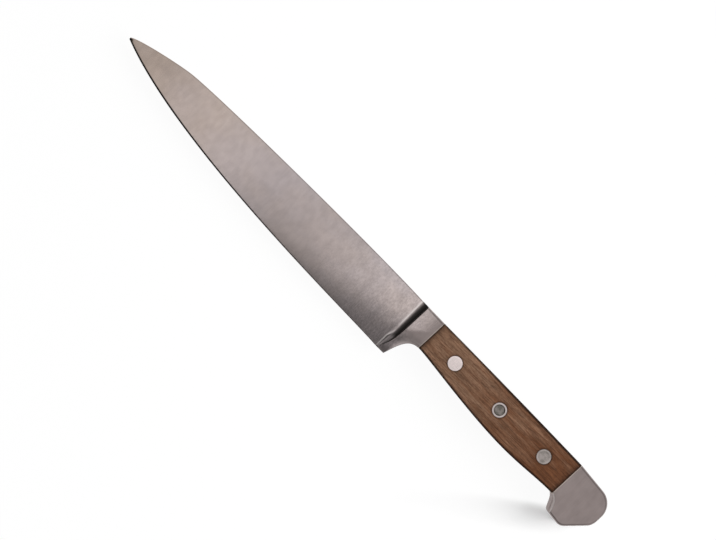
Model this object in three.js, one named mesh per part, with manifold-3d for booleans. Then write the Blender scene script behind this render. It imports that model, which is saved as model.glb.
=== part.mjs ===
// A fillet knife: a forged steel blank with two bolsters, walnut scales and three two-part rivets.
// Millimetres. X runs from the tip to the butt, Y from the edge up to the spine, Z through the thickness.

import * as THREE from "three";
import { mergeVertices } from "three/addons/utils/BufferGeometryUtils.js";
import Module from "manifold-3d";

// Blade, seen from the side. The spine runs almost straight to a break, and falls from there to the tip.
const BLADE_LENGTH = 180;
const HEEL_DEPTH = 29.7;
const TIP_DROP = 9.95;
const TIP_BLUNT = 0.6;
const POINT_LENGTH = 31.2;
const POINT_DROP = 1.43;
const POINT_ANGLE = 7.2;
const SPINE_LEAD = { angle: 2.5, reach: 34 };
const SPINE_TO_BREAK = 15.5;
const SPINE_FROM_BREAK = 6.6;
const TIP_ROUND = { angle: 80, reach: 2.5 };
const EDGE_LEAD = { angle: 4.4, reach: 17.8 };
const EDGE_TIP = { angle: 21.9, reach: 53 };

// Blade, through the thickness.
const SPINE_AT_HEEL = 2.1;
const SPINE_AT_TIP = 0.9;
const SHOULDER_WIDTH = 0.4;
const EDGE_WIDTH = 0.06;
const EDGE_BEVEL = 0.7;
const BEVEL_MOST = 0.4;

// Front bolster: a scoop rises from the blade to a ridge, and the guard thins out below it.
const BOLSTER_LENGTH = 14;
const PLUNGE_TOP = 0.5;
const PLUNGE_FOOT = 1.7;
const SCOOP_RADIUS = 4.5;
const BOLSTER_FRONT_THICK = 9.4;
const BOLSTER_FULLNESS = 0.43;
const BOLSTER_EDGE_ROUND = 0.8;
const GUARD_START = 12;
const GUARD_FOOT_THICK = 1.2;
const GUARD_FOOT_REACH = 3.95;
const GUARD_FALL = 1.5;
const CHOIL_LEAN = { angle: 72.4, reach: 8.6 };
const CHOIL_RUN = 6;
const CHOIL_ROUND = 2.4;
const ROUND_MOST = 0.8;

// Handle, seen from the side. Its axis droops from the line of the spine.
const HANDLE_DROOP = 2.2;
const HANDLE_CENTRE_DROP = 8.5;
const HANDLE_LENGTH = 89.4;
const HANDLE_FRONT_HEIGHT = 16.3;
const HANDLE_REAR_TOP = 10.1;
const HANDLE_REAR_BOTTOM = 8.5;
const TOP_CROWN = 0.4;
const BELLY_DEPTH = 11.1;
const BELLY_AT = 52.6;
const BELLY_LEAD = { angle: 5, reach: 4.5 };
const BELLY_IN = 0.41;
const BELLY_OUT = 0.46;
const BELLY_EXIT = { angle: 2, share: 0.33 };

// Handle, through the thickness.
const HANDLE_THICK = 17;
const HANDLE_FRONT_THICK = 12.8;
const SWELL_END = 60;
const EDGE_ROUND = 1.2;
const TANG_THICK = 3.2;
const TANG_INSET = 0.15;
const TANG_ROOT = 3;

// Butt cap: a rounded end, a slanted flat below it, and a beak that keeps the hand from slipping.
const BUTT_LENGTH = 23.4;
const BUTT_TOP_FALL = 3.4;
const BUTT_END_ROUND = 8.6;
const BUTT_FLAT_DROP = 5.1;
const BUTT_FLAT_ANGLE = 48;
const BUTT_FLAT_ROUND = 7.2;
const BUTT_OVERRUN = 6;
const BEAK_DEPTH = 16.3;
const BEAK_ROUND = 4.5;
const BEAK_TIP = { along: 4.9, depth: 15.6 };
const BEAK_TIP_ROUND_EXTRA = 1.2;
const LIP_LEAD = { angle: 26, reach: 2.2 };
const LIP_EXIT = { angle: 62, reach: 2.4 };

// Rivets: the pin of one half is driven into the tube of the other, and both heads are ground flush.
const RIVET_HEAD = 7;
const RIVET_HEAD_DEPTH = 2.2;
const RIVET_PIN = 2.8;
const RIVET_PIN_SHORT = 1;
const RIVET_TUBE_WALL = 0.6;
const RIVET_FRONT_INSET = 16.3;
const RIVET_REAR_INSET = 14.6;
const RIVET_LINE_DROP = 0.7;
const RIVET_LINE_TILT = 0.77;
const DISH_WIDTH = 5.2;
const DISH_DEPTH = 0.3;

// Between a piece and its seat.
const SEAT_GAP = 0.3;

// How finely curves are cut into facets.
const BLADE_STEPS = 22;
const TIP_CROWDING = 1.4;
const SCOOP_STEPS = 6;
const BOLSTER_STEPS = 14;
const FACE_ROWS = 16;
const HANDLE_STEPS = 22;
const ROUND_STEPS = 4;
const CURVE_STEPS = 8;
const TURN_STEPS = 28;
const OUTLINE_SAMPLES = 120;
const HALVINGS = 48;

const { degToRad, lerp, clamp, smoothstep } = THREE.MathUtils;

const STEEL = new THREE.MeshStandardMaterial({ color: 0xaa9f9b, metalness: 0.95, roughness: 0.38 });
const WALNUT = new THREE.MeshStandardMaterial({ color: 0x6f4e39, metalness: 0, roughness: 0.62 });
const RIVET_STEEL = new THREE.MeshStandardMaterial({ color: 0xc6bbb6, metalness: 0.95, roughness: 0.3 });

const wasm = await Module();
wasm.setup();

// A closed geometry as a solid that can be joined and cut.
function solidOf(geometry) {
  const bare = new THREE.BufferGeometry();
  bare.setAttribute("position", geometry.getAttribute("position"));
  if (geometry.index) bare.setIndex(geometry.index);
  const merged = mergeVertices(bare, 1e-4);
  const vertProperties = new Float32Array(merged.getAttribute("position").array);
  const triVerts = new Uint32Array(merged.index.array);
  return new wasm.Manifold(new wasm.Mesh({ numProp: 3, vertProperties, triVerts }));
}

function geometryOf(solid) {
  const mesh = solid.getMesh();
  const geometry = new THREE.BufferGeometry();
  geometry.setAttribute("position", new THREE.BufferAttribute(mesh.vertProperties, 3));
  geometry.setIndex(new THREE.BufferAttribute(mesh.triVerts, 1));
  return geometry;
}

// Closes a row of equal rings of points into a skin with a cap on each end ring.
// A ring runs against the clock seen from its far side, and caps join its two halves like a ladder.
function loft(rings) {
  const count = rings[0].length;
  const half = count / 2;
  const positions = rings.flat().flatMap((point) => [point.x, point.y, point.z]);
  const faces = [];
  const quad = (a, b, c, d) => faces.push(a, b, c, a, c, d);
  for (let ring = 0; ring + 1 < rings.length; ring++) {
    const here = ring * count;
    const next = here + count;
    for (let i = 0; i < count; i++) {
      const j = (i + 1) % count;
      quad(here + i, next + i, next + j, here + j);
    }
  }
  const last = (rings.length - 1) * count;
  for (let i = 0; i + 1 < half; i++) {
    const mate = count - 1 - i;
    quad(i, i + 1, mate - 1, mate);
    quad(last + i, last + mate, last + mate - 1, last + i + 1);
  }
  const geometry = new THREE.BufferGeometry();
  geometry.setAttribute("position", new THREE.Float32BufferAttribute(positions, 3));
  geometry.setIndex(faces);
  return geometry;
}

const point2 = (x, y) => new THREE.Vector2(x, y);

// A point at a distance and an angle, in degrees, from another.
const away = (from, angle, reach) =>
  point2(Math.cos(degToRad(angle)), Math.sin(degToRad(angle))).multiplyScalar(reach).add(from);

// The height of a curve at x, where x grows steadily along the curve.
function heightAt(curve, x) {
  let low = 0;
  let high = 1;
  for (let step = 0; step < HALVINGS; step++) {
    const between = (low + high) / 2;
    if (curve.getPoint(between).x < x) low = between;
    else high = between;
  }
  return curve.getPoint((low + high) / 2).y;
}

// How much a round of this radius takes off a face at a distance from its edge.
function roundOff(distance, radius) {
  if (distance >= radius) return 0;
  return radius - Math.sqrt(radius * radius - (radius - distance) ** 2);
}

// Side outlines of the blade.
const heelTop = point2(0, 0);
const heelFoot = point2(-PLUNGE_FOOT, -HEEL_DEPTH);
const apex = point2(-BLADE_LENGTH - TIP_BLUNT, -TIP_DROP);
const spineBreak = point2(POINT_LENGTH - BLADE_LENGTH, -POINT_DROP);
const spinePoint = new THREE.CubicBezierCurve(
  apex,
  away(apex, TIP_ROUND.angle, TIP_ROUND.reach),
  away(spineBreak, 180 + POINT_ANGLE, SPINE_FROM_BREAK),
  spineBreak,
);
const spineRun = new THREE.CubicBezierCurve(
  spineBreak,
  away(spineBreak, POINT_ANGLE, SPINE_TO_BREAK),
  away(heelTop, 180 - SPINE_LEAD.angle, SPINE_LEAD.reach),
  heelTop,
);
const edge = new THREE.CubicBezierCurve(
  apex,
  away(apex, -EDGE_TIP.angle, EDGE_TIP.reach),
  away(heelFoot, 180 - EDGE_LEAD.angle, EDGE_LEAD.reach),
  heelFoot,
);
const spineAt = (x) => heightAt(x < spineBreak.x ? spinePoint : spineRun, x);

// The handle's own frame: its origin is in the middle of the wood's front end.
const handlePlace = new THREE.Matrix4()
  .makeRotationZ(-degToRad(HANDLE_DROOP))
  .setPosition(BOLSTER_LENGTH, -HANDLE_CENTRE_DROP, 0);

function fromHandle(x, y) {
  const placed = new THREE.Vector3(x, y, 0).applyMatrix4(handlePlace);
  return point2(placed.x, placed.y);
}

// Side outlines of the handle, in its own frame.
const frontTop = HANDLE_FRONT_HEIGHT / 2;
const handleTop = new THREE.QuadraticBezierCurve(
  point2(0, frontTop),
  point2(HANDLE_LENGTH / 2, (frontTop + HANDLE_REAR_TOP) / 2 + TOP_CROWN),
  point2(HANDLE_LENGTH, HANDLE_REAR_TOP),
);
const belly = point2(BELLY_AT, -BELLY_DEPTH);
const bellyStart = point2(0, -frontTop);
const bellyEnd = point2(HANDLE_LENGTH, -HANDLE_REAR_BOTTOM);
const bellyToEnd = HANDLE_LENGTH - BELLY_AT;
const bellyFront = new THREE.CubicBezierCurve(
  bellyStart,
  away(bellyStart, BELLY_LEAD.angle, BELLY_LEAD.reach),
  away(belly, 180, BELLY_IN * BELLY_AT),
  belly,
);
const bellyRear = new THREE.CubicBezierCurve(
  belly,
  away(belly, 0, BELLY_OUT * bellyToEnd),
  away(bellyEnd, 180 + BELLY_EXIT.angle, BELLY_EXIT.share * bellyToEnd),
  bellyEnd,
);
const handleBottomAt = (x) => heightAt(x < BELLY_AT ? bellyFront : bellyRear, x);
const handleTopAt = (x) => heightAt(handleTop, x);

// Half the handle's thickness: it swells from the bolster and then runs level to the butt.
function handleHalf(x) {
  const short = 1 - clamp(x / SWELL_END, 0, 1);
  return HANDLE_THICK / 2 - ((HANDLE_THICK - HANDLE_FRONT_THICK) / 2) * short * short;
}

// Front of the blank: blade, scoop and bolster as one skin. Rows run from the spine to the edge.
const bevelShare = EDGE_BEVEL / HEEL_DEPTH;
function rowShare(row) {
  if (row === FACE_ROWS) return 1;
  const even = row / (FACE_ROWS - 1);
  return ((1 - Math.cos(Math.PI * even)) / 2) * (1 - bevelShare);
}

const plungeAt = (share) => -lerp(PLUNGE_TOP, PLUNGE_FOOT, share);

// A point on the blade's ground face, with half its thickness as z.
function bladePoint(x, row) {
  const top = spineAt(x);
  const foot = heightAt(edge, x);
  const toTip = clamp(-x / BLADE_LENGTH, 0, 1);
  const spineHalf = lerp(SPINE_AT_HEEL, SPINE_AT_TIP, toTip) / 2;
  if (row === FACE_ROWS) return new THREE.Vector3(x, foot, EDGE_WIDTH / 2);
  const shoulder = foot + Math.min(EDGE_BEVEL, BEVEL_MOST * (top - foot));
  const share = rowShare(row) / (1 - bevelShare);
  return new THREE.Vector3(x, lerp(top, shoulder, share), lerp(spineHalf, SHOULDER_WIDTH / 2, share));
}

// Side outlines of the bolster: a straight top, and a guard foot that turns up into the choil.
const bolsterTopEnd = fromHandle(0, frontTop);
const bolsterBottomEnd = fromHandle(0, -frontTop);
const guardHeel = point2(GUARD_FOOT_REACH, -HEEL_DEPTH);
const choil = new THREE.CubicBezierCurve(
  guardHeel,
  away(guardHeel, CHOIL_LEAN.angle, CHOIL_LEAN.reach),
  away(bolsterBottomEnd, 180 - HANDLE_DROOP + BELLY_LEAD.angle, CHOIL_RUN),
  bolsterBottomEnd,
);
const choilPoints = choil.getPoints(OUTLINE_SAMPLES);

function toChoil(spot) {
  const distances = choilPoints.slice(1).map((end, index) => {
    const start = choilPoints[index];
    const run = end.clone().sub(start);
    const share = clamp(spot.clone().sub(start).dot(run) / run.lengthSq(), 0, 1);
    return start.clone().addScaledVector(run, share).distanceTo(spot);
  });
  return Math.min(...distances);
}

// Half the bolster's thickness, before the scoop is cut: it tapers to the front, thins smoothly down
// the guard and is rounded along its top and along the choil.
function bolsterHalf(spot) {
  const along = clamp(spot.x / BOLSTER_LENGTH, 0, 1);
  const swollen = along + BOLSTER_FULLNESS * along * (1 - along);
  const full = lerp(BOLSTER_FRONT_THICK, HANDLE_FRONT_THICK, swollen) / 2;
  const down = clamp((-spot.y - GUARD_START) / (HEEL_DEPTH - GUARD_START), 0, 1);
  const side = lerp(full, GUARD_FOOT_THICK / 2, smoothstep(down ** GUARD_FALL, 0, 1));
  const topRound = lerp(BOLSTER_EDGE_ROUND, EDGE_ROUND, along);
  const choilRound = Math.min(lerp(CHOIL_ROUND, EDGE_ROUND, along), ROUND_MOST * side);
  const below = lerp(heelTop.y, bolsterTopEnd.y, along) - spot.y;
  return side - roundOff(Math.max(below, 0), topRound) - roundOff(toChoil(spot), choilRound);
}

// A point of the scoop, at an angle round its arc from the plunge line.
function scoopPoint(row, angle) {
  const share = rowShare(row);
  const start = bladePoint(plungeAt(share), row);
  const x = start.x + SCOOP_RADIUS * Math.sin(angle);
  const top = lerp(heelTop.y, bolsterTopEnd.y, clamp(x / BOLSTER_LENGTH, 0, 1));
  const y = lerp(top, -HEEL_DEPTH, share);
  return new THREE.Vector3(x, y, start.z + SCOOP_RADIUS * (1 - Math.cos(angle)));
}

// The angle at which the scoop meets the bolster's side, which is the ridge.
function ridgeAngle(row) {
  let low = 0;
  let high = Math.PI / 2;
  for (let step = 0; step < HALVINGS; step++) {
    const between = (low + high) / 2;
    const spot = scoopPoint(row, between);
    if (spot.z < bolsterHalf(point2(spot.x, spot.y))) low = between;
    else high = between;
  }
  return (low + high) / 2;
}

// The bolster's side is a patch between the ridge, the top, the choil and the wood's front end.
function bolsterPatch(ridge) {
  const topStart = ridge[0];
  const footStart = ridge[FACE_ROWS];
  const footLength = guardHeel.x - footStart.x;
  const footShare = footLength / (footLength + choil.getLength());
  const topAt = (across) => topStart.clone().lerp(bolsterTopEnd, across);
  const bottomAt = (across) =>
    across < footShare
      ? footStart.clone().lerp(guardHeel, across / footShare)
      : choil.getPointAt((across - footShare) / (1 - footShare));
  return (across, row) => {
    const share = rowShare(row);
    const sides = ridge[row].clone().lerp(bolsterTopEnd.clone().lerp(bolsterBottomEnd, share), across);
    const ends = topAt(across).lerp(bottomAt(across), share);
    const corners = topStart.clone().lerp(footStart, share);
    corners.lerp(bolsterTopEnd.clone().lerp(bolsterBottomEnd, share), across);
    const spot = sides.add(ends).sub(corners);
    return new THREE.Vector3(spot.x, spot.y, bolsterHalf(spot));
  };
}

function frontOfBlank() {
  const rows = Array.from({ length: FACE_ROWS + 1 }, (_, row) => row);
  const columns = [];
  for (let step = 0; step <= BLADE_STEPS; step++) {
    const share = (step / BLADE_STEPS) ** TIP_CROWDING;
    const stationAt = (row) => lerp(-BLADE_LENGTH, plungeAt(rowShare(row)), share);
    columns.push(rows.map((row) => bladePoint(stationAt(row), row)));
  }
  const angles = rows.map(ridgeAngle);
  for (let step = 1; step <= SCOOP_STEPS; step++) {
    columns.push(rows.map((row) => scoopPoint(row, (angles[row] * step) / SCOOP_STEPS)));
  }
  const ridge = columns.at(-1).map((spot) => point2(spot.x, spot.y));
  const patch = bolsterPatch(ridge);
  for (let step = 1; step <= BOLSTER_STEPS; step++) {
    columns.push(rows.map((row) => patch(step / BOLSTER_STEPS, row)));
  }
  const mirrored = (spot) => new THREE.Vector3(spot.x, spot.y, -spot.z);
  return loft(columns.map((column) => [...column.toReversed(), ...column.map(mirrored)]));
}

// Full tang, between the scales and flush with their edges.
function tang() {
  const outline = new THREE.Shape();
  const stations = Array.from({ length: HANDLE_STEPS + 1 }, (_, i) => (i / HANDLE_STEPS) * HANDLE_LENGTH);
  const top = stations.map((x) => point2(x, handleTopAt(x) - TANG_INSET));
  const bottom = stations.map((x) => point2(x, handleBottomAt(x) + TANG_INSET));
  const rootTop = point2(-TANG_ROOT, top[0].y);
  const rootBottom = point2(-TANG_ROOT, bottom[0].y);
  const tailTop = point2(HANDLE_LENGTH + TANG_ROOT, top.at(-1).y - TANG_INSET);
  const tailBottom = point2(HANDLE_LENGTH + TANG_ROOT, bottom.at(-1).y);
  outline.setFromPoints([rootBottom, ...bottom, tailBottom, tailTop, ...top.reverse(), rootTop]);
  const plate = new THREE.ExtrudeGeometry(outline, { depth: TANG_THICK, bevelEnabled: false });
  return plate.translate(0, 0, -TANG_THICK / 2);
}

// Runs an outline on to a corner and round it, towards the corner after that.
function roundCorner(outline, before, corner, after, radius) {
  const back = before.clone().sub(corner).normalize();
  const ahead = after.clone().sub(corner).normalize();
  const half = Math.acos(back.dot(ahead)) / 2;
  const centre = back.clone().add(ahead).setLength(radius / Math.sin(half)).add(corner);
  const start = back.clone().multiplyScalar(radius / Math.tan(half)).add(corner);
  const end = ahead.clone().multiplyScalar(radius / Math.tan(half)).add(corner);
  outline.lineTo(start.x, start.y);
  const from = start.sub(centre).angle();
  const to = end.sub(centre).angle();
  outline.absarc(centre.x, centre.y, radius, from, to, back.cross(ahead) > 0);
}

// Butt cap, from its side outline with rounded edges. It is cut square where the wood ends.
function buttCap() {
  const end = HANDLE_LENGTH + BUTT_LENGTH;
  const flatRun = (BEAK_DEPTH - BUTT_FLAT_DROP) / Math.tan(degToRad(BUTT_FLAT_ANGLE));
  const topFront = point2(HANDLE_LENGTH, HANDLE_REAR_TOP);
  const topRear = point2(end, HANDLE_REAR_TOP - BUTT_LENGTH * Math.tan(degToRad(BUTT_TOP_FALL)));
  const flatTop = point2(end, -BUTT_FLAT_DROP);
  const flatFoot = point2(end - flatRun, -BEAK_DEPTH);
  const beakTip = point2(HANDLE_LENGTH + BEAK_TIP.along, -BEAK_TIP.depth);
  const lipStart = point2(HANDLE_LENGTH, -HANDLE_REAR_BOTTOM);
  const lipLead = away(lipStart, -LIP_LEAD.angle, LIP_LEAD.reach);
  const lipEnd = away(beakTip, 180 - LIP_EXIT.angle, LIP_EXIT.reach);
  const lipExit = away(lipEnd, 180 - LIP_EXIT.angle, LIP_EXIT.reach);
  const outline = new THREE.Shape();
  outline.moveTo(HANDLE_LENGTH - BUTT_OVERRUN, HANDLE_REAR_TOP);
  outline.lineTo(topFront.x, topFront.y);
  roundCorner(outline, topFront, topRear, flatTop, BUTT_END_ROUND);
  roundCorner(outline, topRear, flatTop, flatFoot, BUTT_FLAT_ROUND);
  roundCorner(outline, flatTop, flatFoot, beakTip, BEAK_ROUND);
  roundCorner(outline, flatFoot, beakTip, lipEnd, EDGE_ROUND + BEAK_TIP_ROUND_EXTRA);
  outline.lineTo(lipEnd.x, lipEnd.y);
  outline.bezierCurveTo(lipExit.x, lipExit.y, lipLead.x, lipLead.y, lipStart.x, lipStart.y);
  outline.lineTo(HANDLE_LENGTH - BUTT_OVERRUN, -HANDLE_REAR_BOTTOM);
  const block = new THREE.ExtrudeGeometry(outline, {
    depth: HANDLE_THICK - 2 * EDGE_ROUND,
    curveSegments: CURVE_STEPS,
    bevelThickness: EDGE_ROUND,
    bevelSize: EDGE_ROUND,
    bevelOffset: -EDGE_ROUND,
    bevelSegments: ROUND_STEPS,
  });
  block.translate(0, 0, EDGE_ROUND - HANDLE_THICK / 2);
  const room = 2 * HANDLE_THICK + 2 * BEAK_DEPTH;
  const keep = new THREE.BoxGeometry(2 * BUTT_LENGTH, room, room);
  keep.translate(end, 0, 0);
  return solidOf(block).intersect(solidOf(keep));
}

// A round solid on the Z axis, from a profile of radius and height pairs that runs up its outside.
function turned(profile, place) {
  const geometry = new THREE.LatheGeometry(profile.map(([r, z]) => point2(r, z)), TURN_STEPS);
  geometry.rotateX(Math.PI / 2);
  geometry.translate(place.x, place.y, 0);
  return solidOf(geometry);
}

const rivetNames = ["front_rivet", "middle_rivet", "rear_rivet"];
const firstRivet = point2(RIVET_FRONT_INSET, -RIVET_LINE_DROP);
const rivetPitch = (HANDLE_LENGTH - RIVET_FRONT_INSET - RIVET_REAR_INSET) / (rivetNames.length - 1);
const rivetPlaces = rivetNames.map((_, index) => away(firstRivet, RIVET_LINE_TILT, index * rivetPitch));
const rivetSeat = (place) => handleHalf(place.x) - RIVET_HEAD_DEPTH;
const rivetHead = RIVET_HEAD / 2;
const rivetBore = RIVET_PIN / 2 + SEAT_GAP;
const rivetTubeOutside = rivetBore + RIVET_TUBE_WALL;

// A plain round cut from one height to another.
function roundCut(place, radius, from, to) {
  return turned([[0, from], [radius, from], [radius, to], [0, to]], place);
}

// The hole through the whole handle for a rivet's tube.
function tubeHole(place) {
  return roundCut(place, rivetTubeOutside + SEAT_GAP, -HANDLE_THICK, HANDLE_THICK);
}

// The counterbore that takes a rivet's head, on the side of the given sign.
function headHole(place, sign) {
  const radius = rivetHead + SEAT_GAP;
  const floor = rivetSeat(place) - SEAT_GAP;
  if (sign > 0) return roundCut(place, radius, floor, HANDLE_THICK);
  return roundCut(place, radius, -HANDLE_THICK, -floor);
}

function forgedBlank() {
  const tangSolid = solidOf(tang().applyMatrix4(handlePlace));
  const buttSolid = solidOf(geometryOf(buttCap()).applyMatrix4(handlePlace));
  let blank = solidOf(frontOfBlank()).add(tangSolid).add(buttSolid);
  for (const place of rivetPlaces) {
    blank = blank.subtract(solidOf(geometryOf(tubeHole(place)).applyMatrix4(handlePlace)));
  }
  return geometryOf(blank);
}

// One side of the handle's section at x, from the level of its inner face, with rounded outer edges.
function sectionRing(x, inner, sign) {
  const half = handleHalf(x);
  const top = handleTopAt(clamp(x, 0, HANDLE_LENGTH));
  const bottom = handleBottomAt(clamp(x, 0, HANDLE_LENGTH));
  const ring = [new THREE.Vector3(x, bottom, inner)];
  for (let step = 0; step <= ROUND_STEPS; step++) {
    const turn = (step / ROUND_STEPS) * (Math.PI / 2);
    const dip = EDGE_ROUND * (1 - Math.cos(turn));
    ring.push(new THREE.Vector3(x, bottom + dip, half - EDGE_ROUND * (1 - Math.sin(turn))));
  }
  for (let step = ROUND_STEPS; step >= 0; step--) {
    const turn = (step / ROUND_STEPS) * (Math.PI / 2);
    const dip = EDGE_ROUND * (1 - Math.cos(turn));
    ring.push(new THREE.Vector3(x, top - dip, half - EDGE_ROUND * (1 - Math.sin(turn))));
  }
  ring.push(new THREE.Vector3(x, top, inner));
  if (sign > 0) return ring;
  return ring.map((spot) => new THREE.Vector3(spot.x, spot.y, -spot.z)).reverse();
}

// One side of the handle between two stations, as thick as the scale and any inner part asked for.
function handleSide(start, end, inner, sign) {
  const rings = [];
  for (let step = 0; step <= HANDLE_STEPS; step++) {
    rings.push(sectionRing(lerp(start, end, step / HANDLE_STEPS), inner, sign));
  }
  return solidOf(loft(rings));
}

// A walnut scale, glued on the tang between the two bolsters, with holes for the rivets.
function scale(sign) {
  const inner = TANG_THICK / 2 + SEAT_GAP;
  let wood = handleSide(SEAT_GAP, HANDLE_LENGTH - SEAT_GAP, inner, sign);
  for (const place of rivetPlaces) {
    wood = wood.subtract(tubeHole(place)).subtract(headHole(place, sign));
  }
  return geometryOf(wood);
}

// Grinds a rivet's head flush with the wood, on the side of the given sign.
function groundFlush(blank, sign) {
  return blank.intersect(handleSide(SEAT_GAP, HANDLE_LENGTH - SEAT_GAP, -HANDLE_THICK / 2, sign));
}

// The half of a rivet with the solid pin, on the shown side.
function rivetPin(place, dished) {
  const seat = rivetSeat(place);
  const pin = RIVET_PIN / 2;
  const foot = RIVET_PIN_SHORT - seat;
  const profile = [
    [0, foot],
    [pin, foot],
    [pin, seat],
    [rivetHead, seat],
    [rivetHead, HANDLE_THICK],
    [0, HANDLE_THICK],
  ];
  const ground = groundFlush(turned(profile, place), 1);
  if (!dished) return geometryOf(ground);
  const floor = handleHalf(place.x) - DISH_DEPTH;
  return geometryOf(ground.subtract(roundCut(place, DISH_WIDTH / 2, floor, HANDLE_THICK)));
}

// The half of a rivet with the tube, on the far side. The pin enters its bore.
function rivetTube(place) {
  const seat = rivetSeat(place);
  const mouth = seat - SEAT_GAP;
  const profile = [
    [0, -HANDLE_THICK],
    [rivetHead, -HANDLE_THICK],
    [rivetHead, -seat],
    [rivetTubeOutside, -seat],
    [rivetTubeOutside, mouth],
    [rivetBore, mouth],
    [rivetBore, -seat],
    [0, -seat],
  ];
  return geometryOf(groundFlush(turned(profile, place), -1));
}

function piece(name, geometry, material) {
  const mesh = new THREE.Mesh(geometry, material);
  mesh.name = name;
  return mesh;
}

const handle = new THREE.Group();
handle.applyMatrix4(handlePlace);
handle.add(piece("left_scale", scale(1), WALNUT));
handle.add(piece("right_scale", scale(-1), WALNUT));
rivetNames.forEach((name, index) => {
  const place = rivetPlaces[index];
  handle.add(piece(`${name}_pin`, rivetPin(place, name === "middle_rivet"), RIVET_STEEL));
  handle.add(piece(`${name}_tube`, rivetTube(place), RIVET_STEEL));
});

const knife = new THREE.Group();
knife.add(piece("forged_blank", forgedBlank(), STEEL));
knife.add(handle);

// The knife lies on its right side, with the origin under the middle of its box.
const box = new THREE.Box3().setFromObject(knife, true);
const centre = box.getCenter(new THREE.Vector3());
knife.position.set(-centre.x, -centre.y, -box.min.z);

const part = new THREE.Group();
part.add(knife);

export default part;
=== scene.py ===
import math

import bmesh
import bpy
import numpy as np
from mathutils import Matrix, Vector


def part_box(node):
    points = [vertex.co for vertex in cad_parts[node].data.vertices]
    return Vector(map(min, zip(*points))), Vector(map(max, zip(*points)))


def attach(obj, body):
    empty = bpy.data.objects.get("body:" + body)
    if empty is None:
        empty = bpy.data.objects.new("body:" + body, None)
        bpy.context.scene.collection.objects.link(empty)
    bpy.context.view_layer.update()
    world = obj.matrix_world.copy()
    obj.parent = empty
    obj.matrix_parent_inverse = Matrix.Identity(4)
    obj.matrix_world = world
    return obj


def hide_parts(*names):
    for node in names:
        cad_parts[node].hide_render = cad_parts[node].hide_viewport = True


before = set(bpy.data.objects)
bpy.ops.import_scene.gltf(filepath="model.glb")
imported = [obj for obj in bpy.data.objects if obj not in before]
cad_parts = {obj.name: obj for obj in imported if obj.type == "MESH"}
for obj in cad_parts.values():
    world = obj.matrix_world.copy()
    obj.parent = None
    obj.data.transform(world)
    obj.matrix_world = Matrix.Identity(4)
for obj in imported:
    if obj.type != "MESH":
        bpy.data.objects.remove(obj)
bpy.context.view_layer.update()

# Blade, in millimetres.
# The front of the knife's one stainless forging, ground on both sides in a faint swell from the spine to a
# thin edge. A bevel that widens to the tip carries the edge, and the spine's corners are eased.
BLADE_LENGTH = 180
HEEL_DEPTH = 29.7
TIP_DROP = 9.95
TIP_BLUNT = 0.6
TIP_ROUND_ANGLE = 80
TIP_ROUND_REACH = 2.5
POINT_LENGTH = 31.2
POINT_DROP = 1.43
POINT_ANGLE = 7.2
SPINE_LEAD_ANGLE = 2.5
SPINE_LEAD_REACH = 34
SPINE_TO_BREAK = 15.5
SPINE_FROM_BREAK = 6.6
EDGE_LEAD_ANGLE = 4.4
EDGE_LEAD_REACH = 17.8
EDGE_TIP_ANGLE = 21.9
EDGE_TIP_REACH = 53
SPINE_AT_HEEL = 2.1
SPINE_AT_TIP = 0.9
SPINE_EASE = 0.4
SPINE_POLISH = 0.01
GRIND_SWELL = 1.6
SHOULDER_WIDTH = 0.4
EDGE_WIDTH = 0.06
BEVEL_AT_HEEL = 0.45
BEVEL_AT_TIP = 0.85
BEVEL_MOST = 0.4
PLUNGE_TOP = 0.5
PLUNGE_FOOT = 1.7
CURVE_POINTS = 400
FACE_ROWS = 52
BEVEL_ROWS = 8
BLADE_STEPS = 150
TIP_CROWDING = 1.4


def lerp(start, end, share):
    return start + (end - start) * share


def away(point, angle, reach):
    """The point at an angle, in degrees, and a distance from another."""
    turn = math.radians(angle)
    return point + reach * np.array([math.cos(turn), math.sin(turn)])


def curve(*controls):
    """Points along the Bezier curve that these points control."""
    rows = np.array(controls, float)[:, None, :]
    share = np.linspace(0, 1, CURVE_POINTS)[:, None]
    while len(rows) > 1:
        rows = lerp(rows[:-1], rows[1:], share)
    return rows[0]


def height_at(line, x):
    return np.interp(x, line[:, 0], line[:, 1])


def round_off(distance, radius):
    """How much a round of this radius takes off a face at a distance from its edge."""
    short = np.clip(radius - distance, 0, radius)
    return radius - np.sqrt(radius**2 - short**2)


def eased_shares(count):
    """Shares from 0 to 1 that crowd towards both ends."""
    return (1 - np.cos(np.pi * np.linspace(0, 1, count))) / 2


heel_top = np.array([0.0, 0.0])
heel_foot = np.array([-PLUNGE_FOOT, -HEEL_DEPTH])
apex = np.array([-BLADE_LENGTH - TIP_BLUNT, -TIP_DROP])
spine_break = np.array([POINT_LENGTH - BLADE_LENGTH, -POINT_DROP])
spine_point = curve(
    apex,
    away(apex, TIP_ROUND_ANGLE, TIP_ROUND_REACH),
    away(spine_break, 180 + POINT_ANGLE, SPINE_FROM_BREAK),
    spine_break,
)
spine_run = curve(
    spine_break,
    away(spine_break, POINT_ANGLE, SPINE_TO_BREAK),
    away(heel_top, 180 - SPINE_LEAD_ANGLE, SPINE_LEAD_REACH),
    heel_top,
)
spine = np.concatenate([spine_point, spine_run[1:]])
edge = curve(
    apex,
    away(apex, -EDGE_TIP_ANGLE, EDGE_TIP_REACH),
    away(heel_foot, 180 - EDGE_LEAD_ANGLE, EDGE_LEAD_REACH),
    heel_foot,
)

# Rows run from the spine, 0, to the edge, 1, and the last few lie on the bevel.
face_share = 1 - BEVEL_AT_HEEL / HEEL_DEPTH
ground_rows = eased_shares(FACE_ROWS) * face_share
bevel_rows = lerp(face_share, 1, eased_shares(BEVEL_ROWS + 1)[1:])
rows = np.concatenate([ground_rows, bevel_rows])
plunge = -lerp(PLUNGE_TOP, PLUNGE_FOOT, rows)


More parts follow.
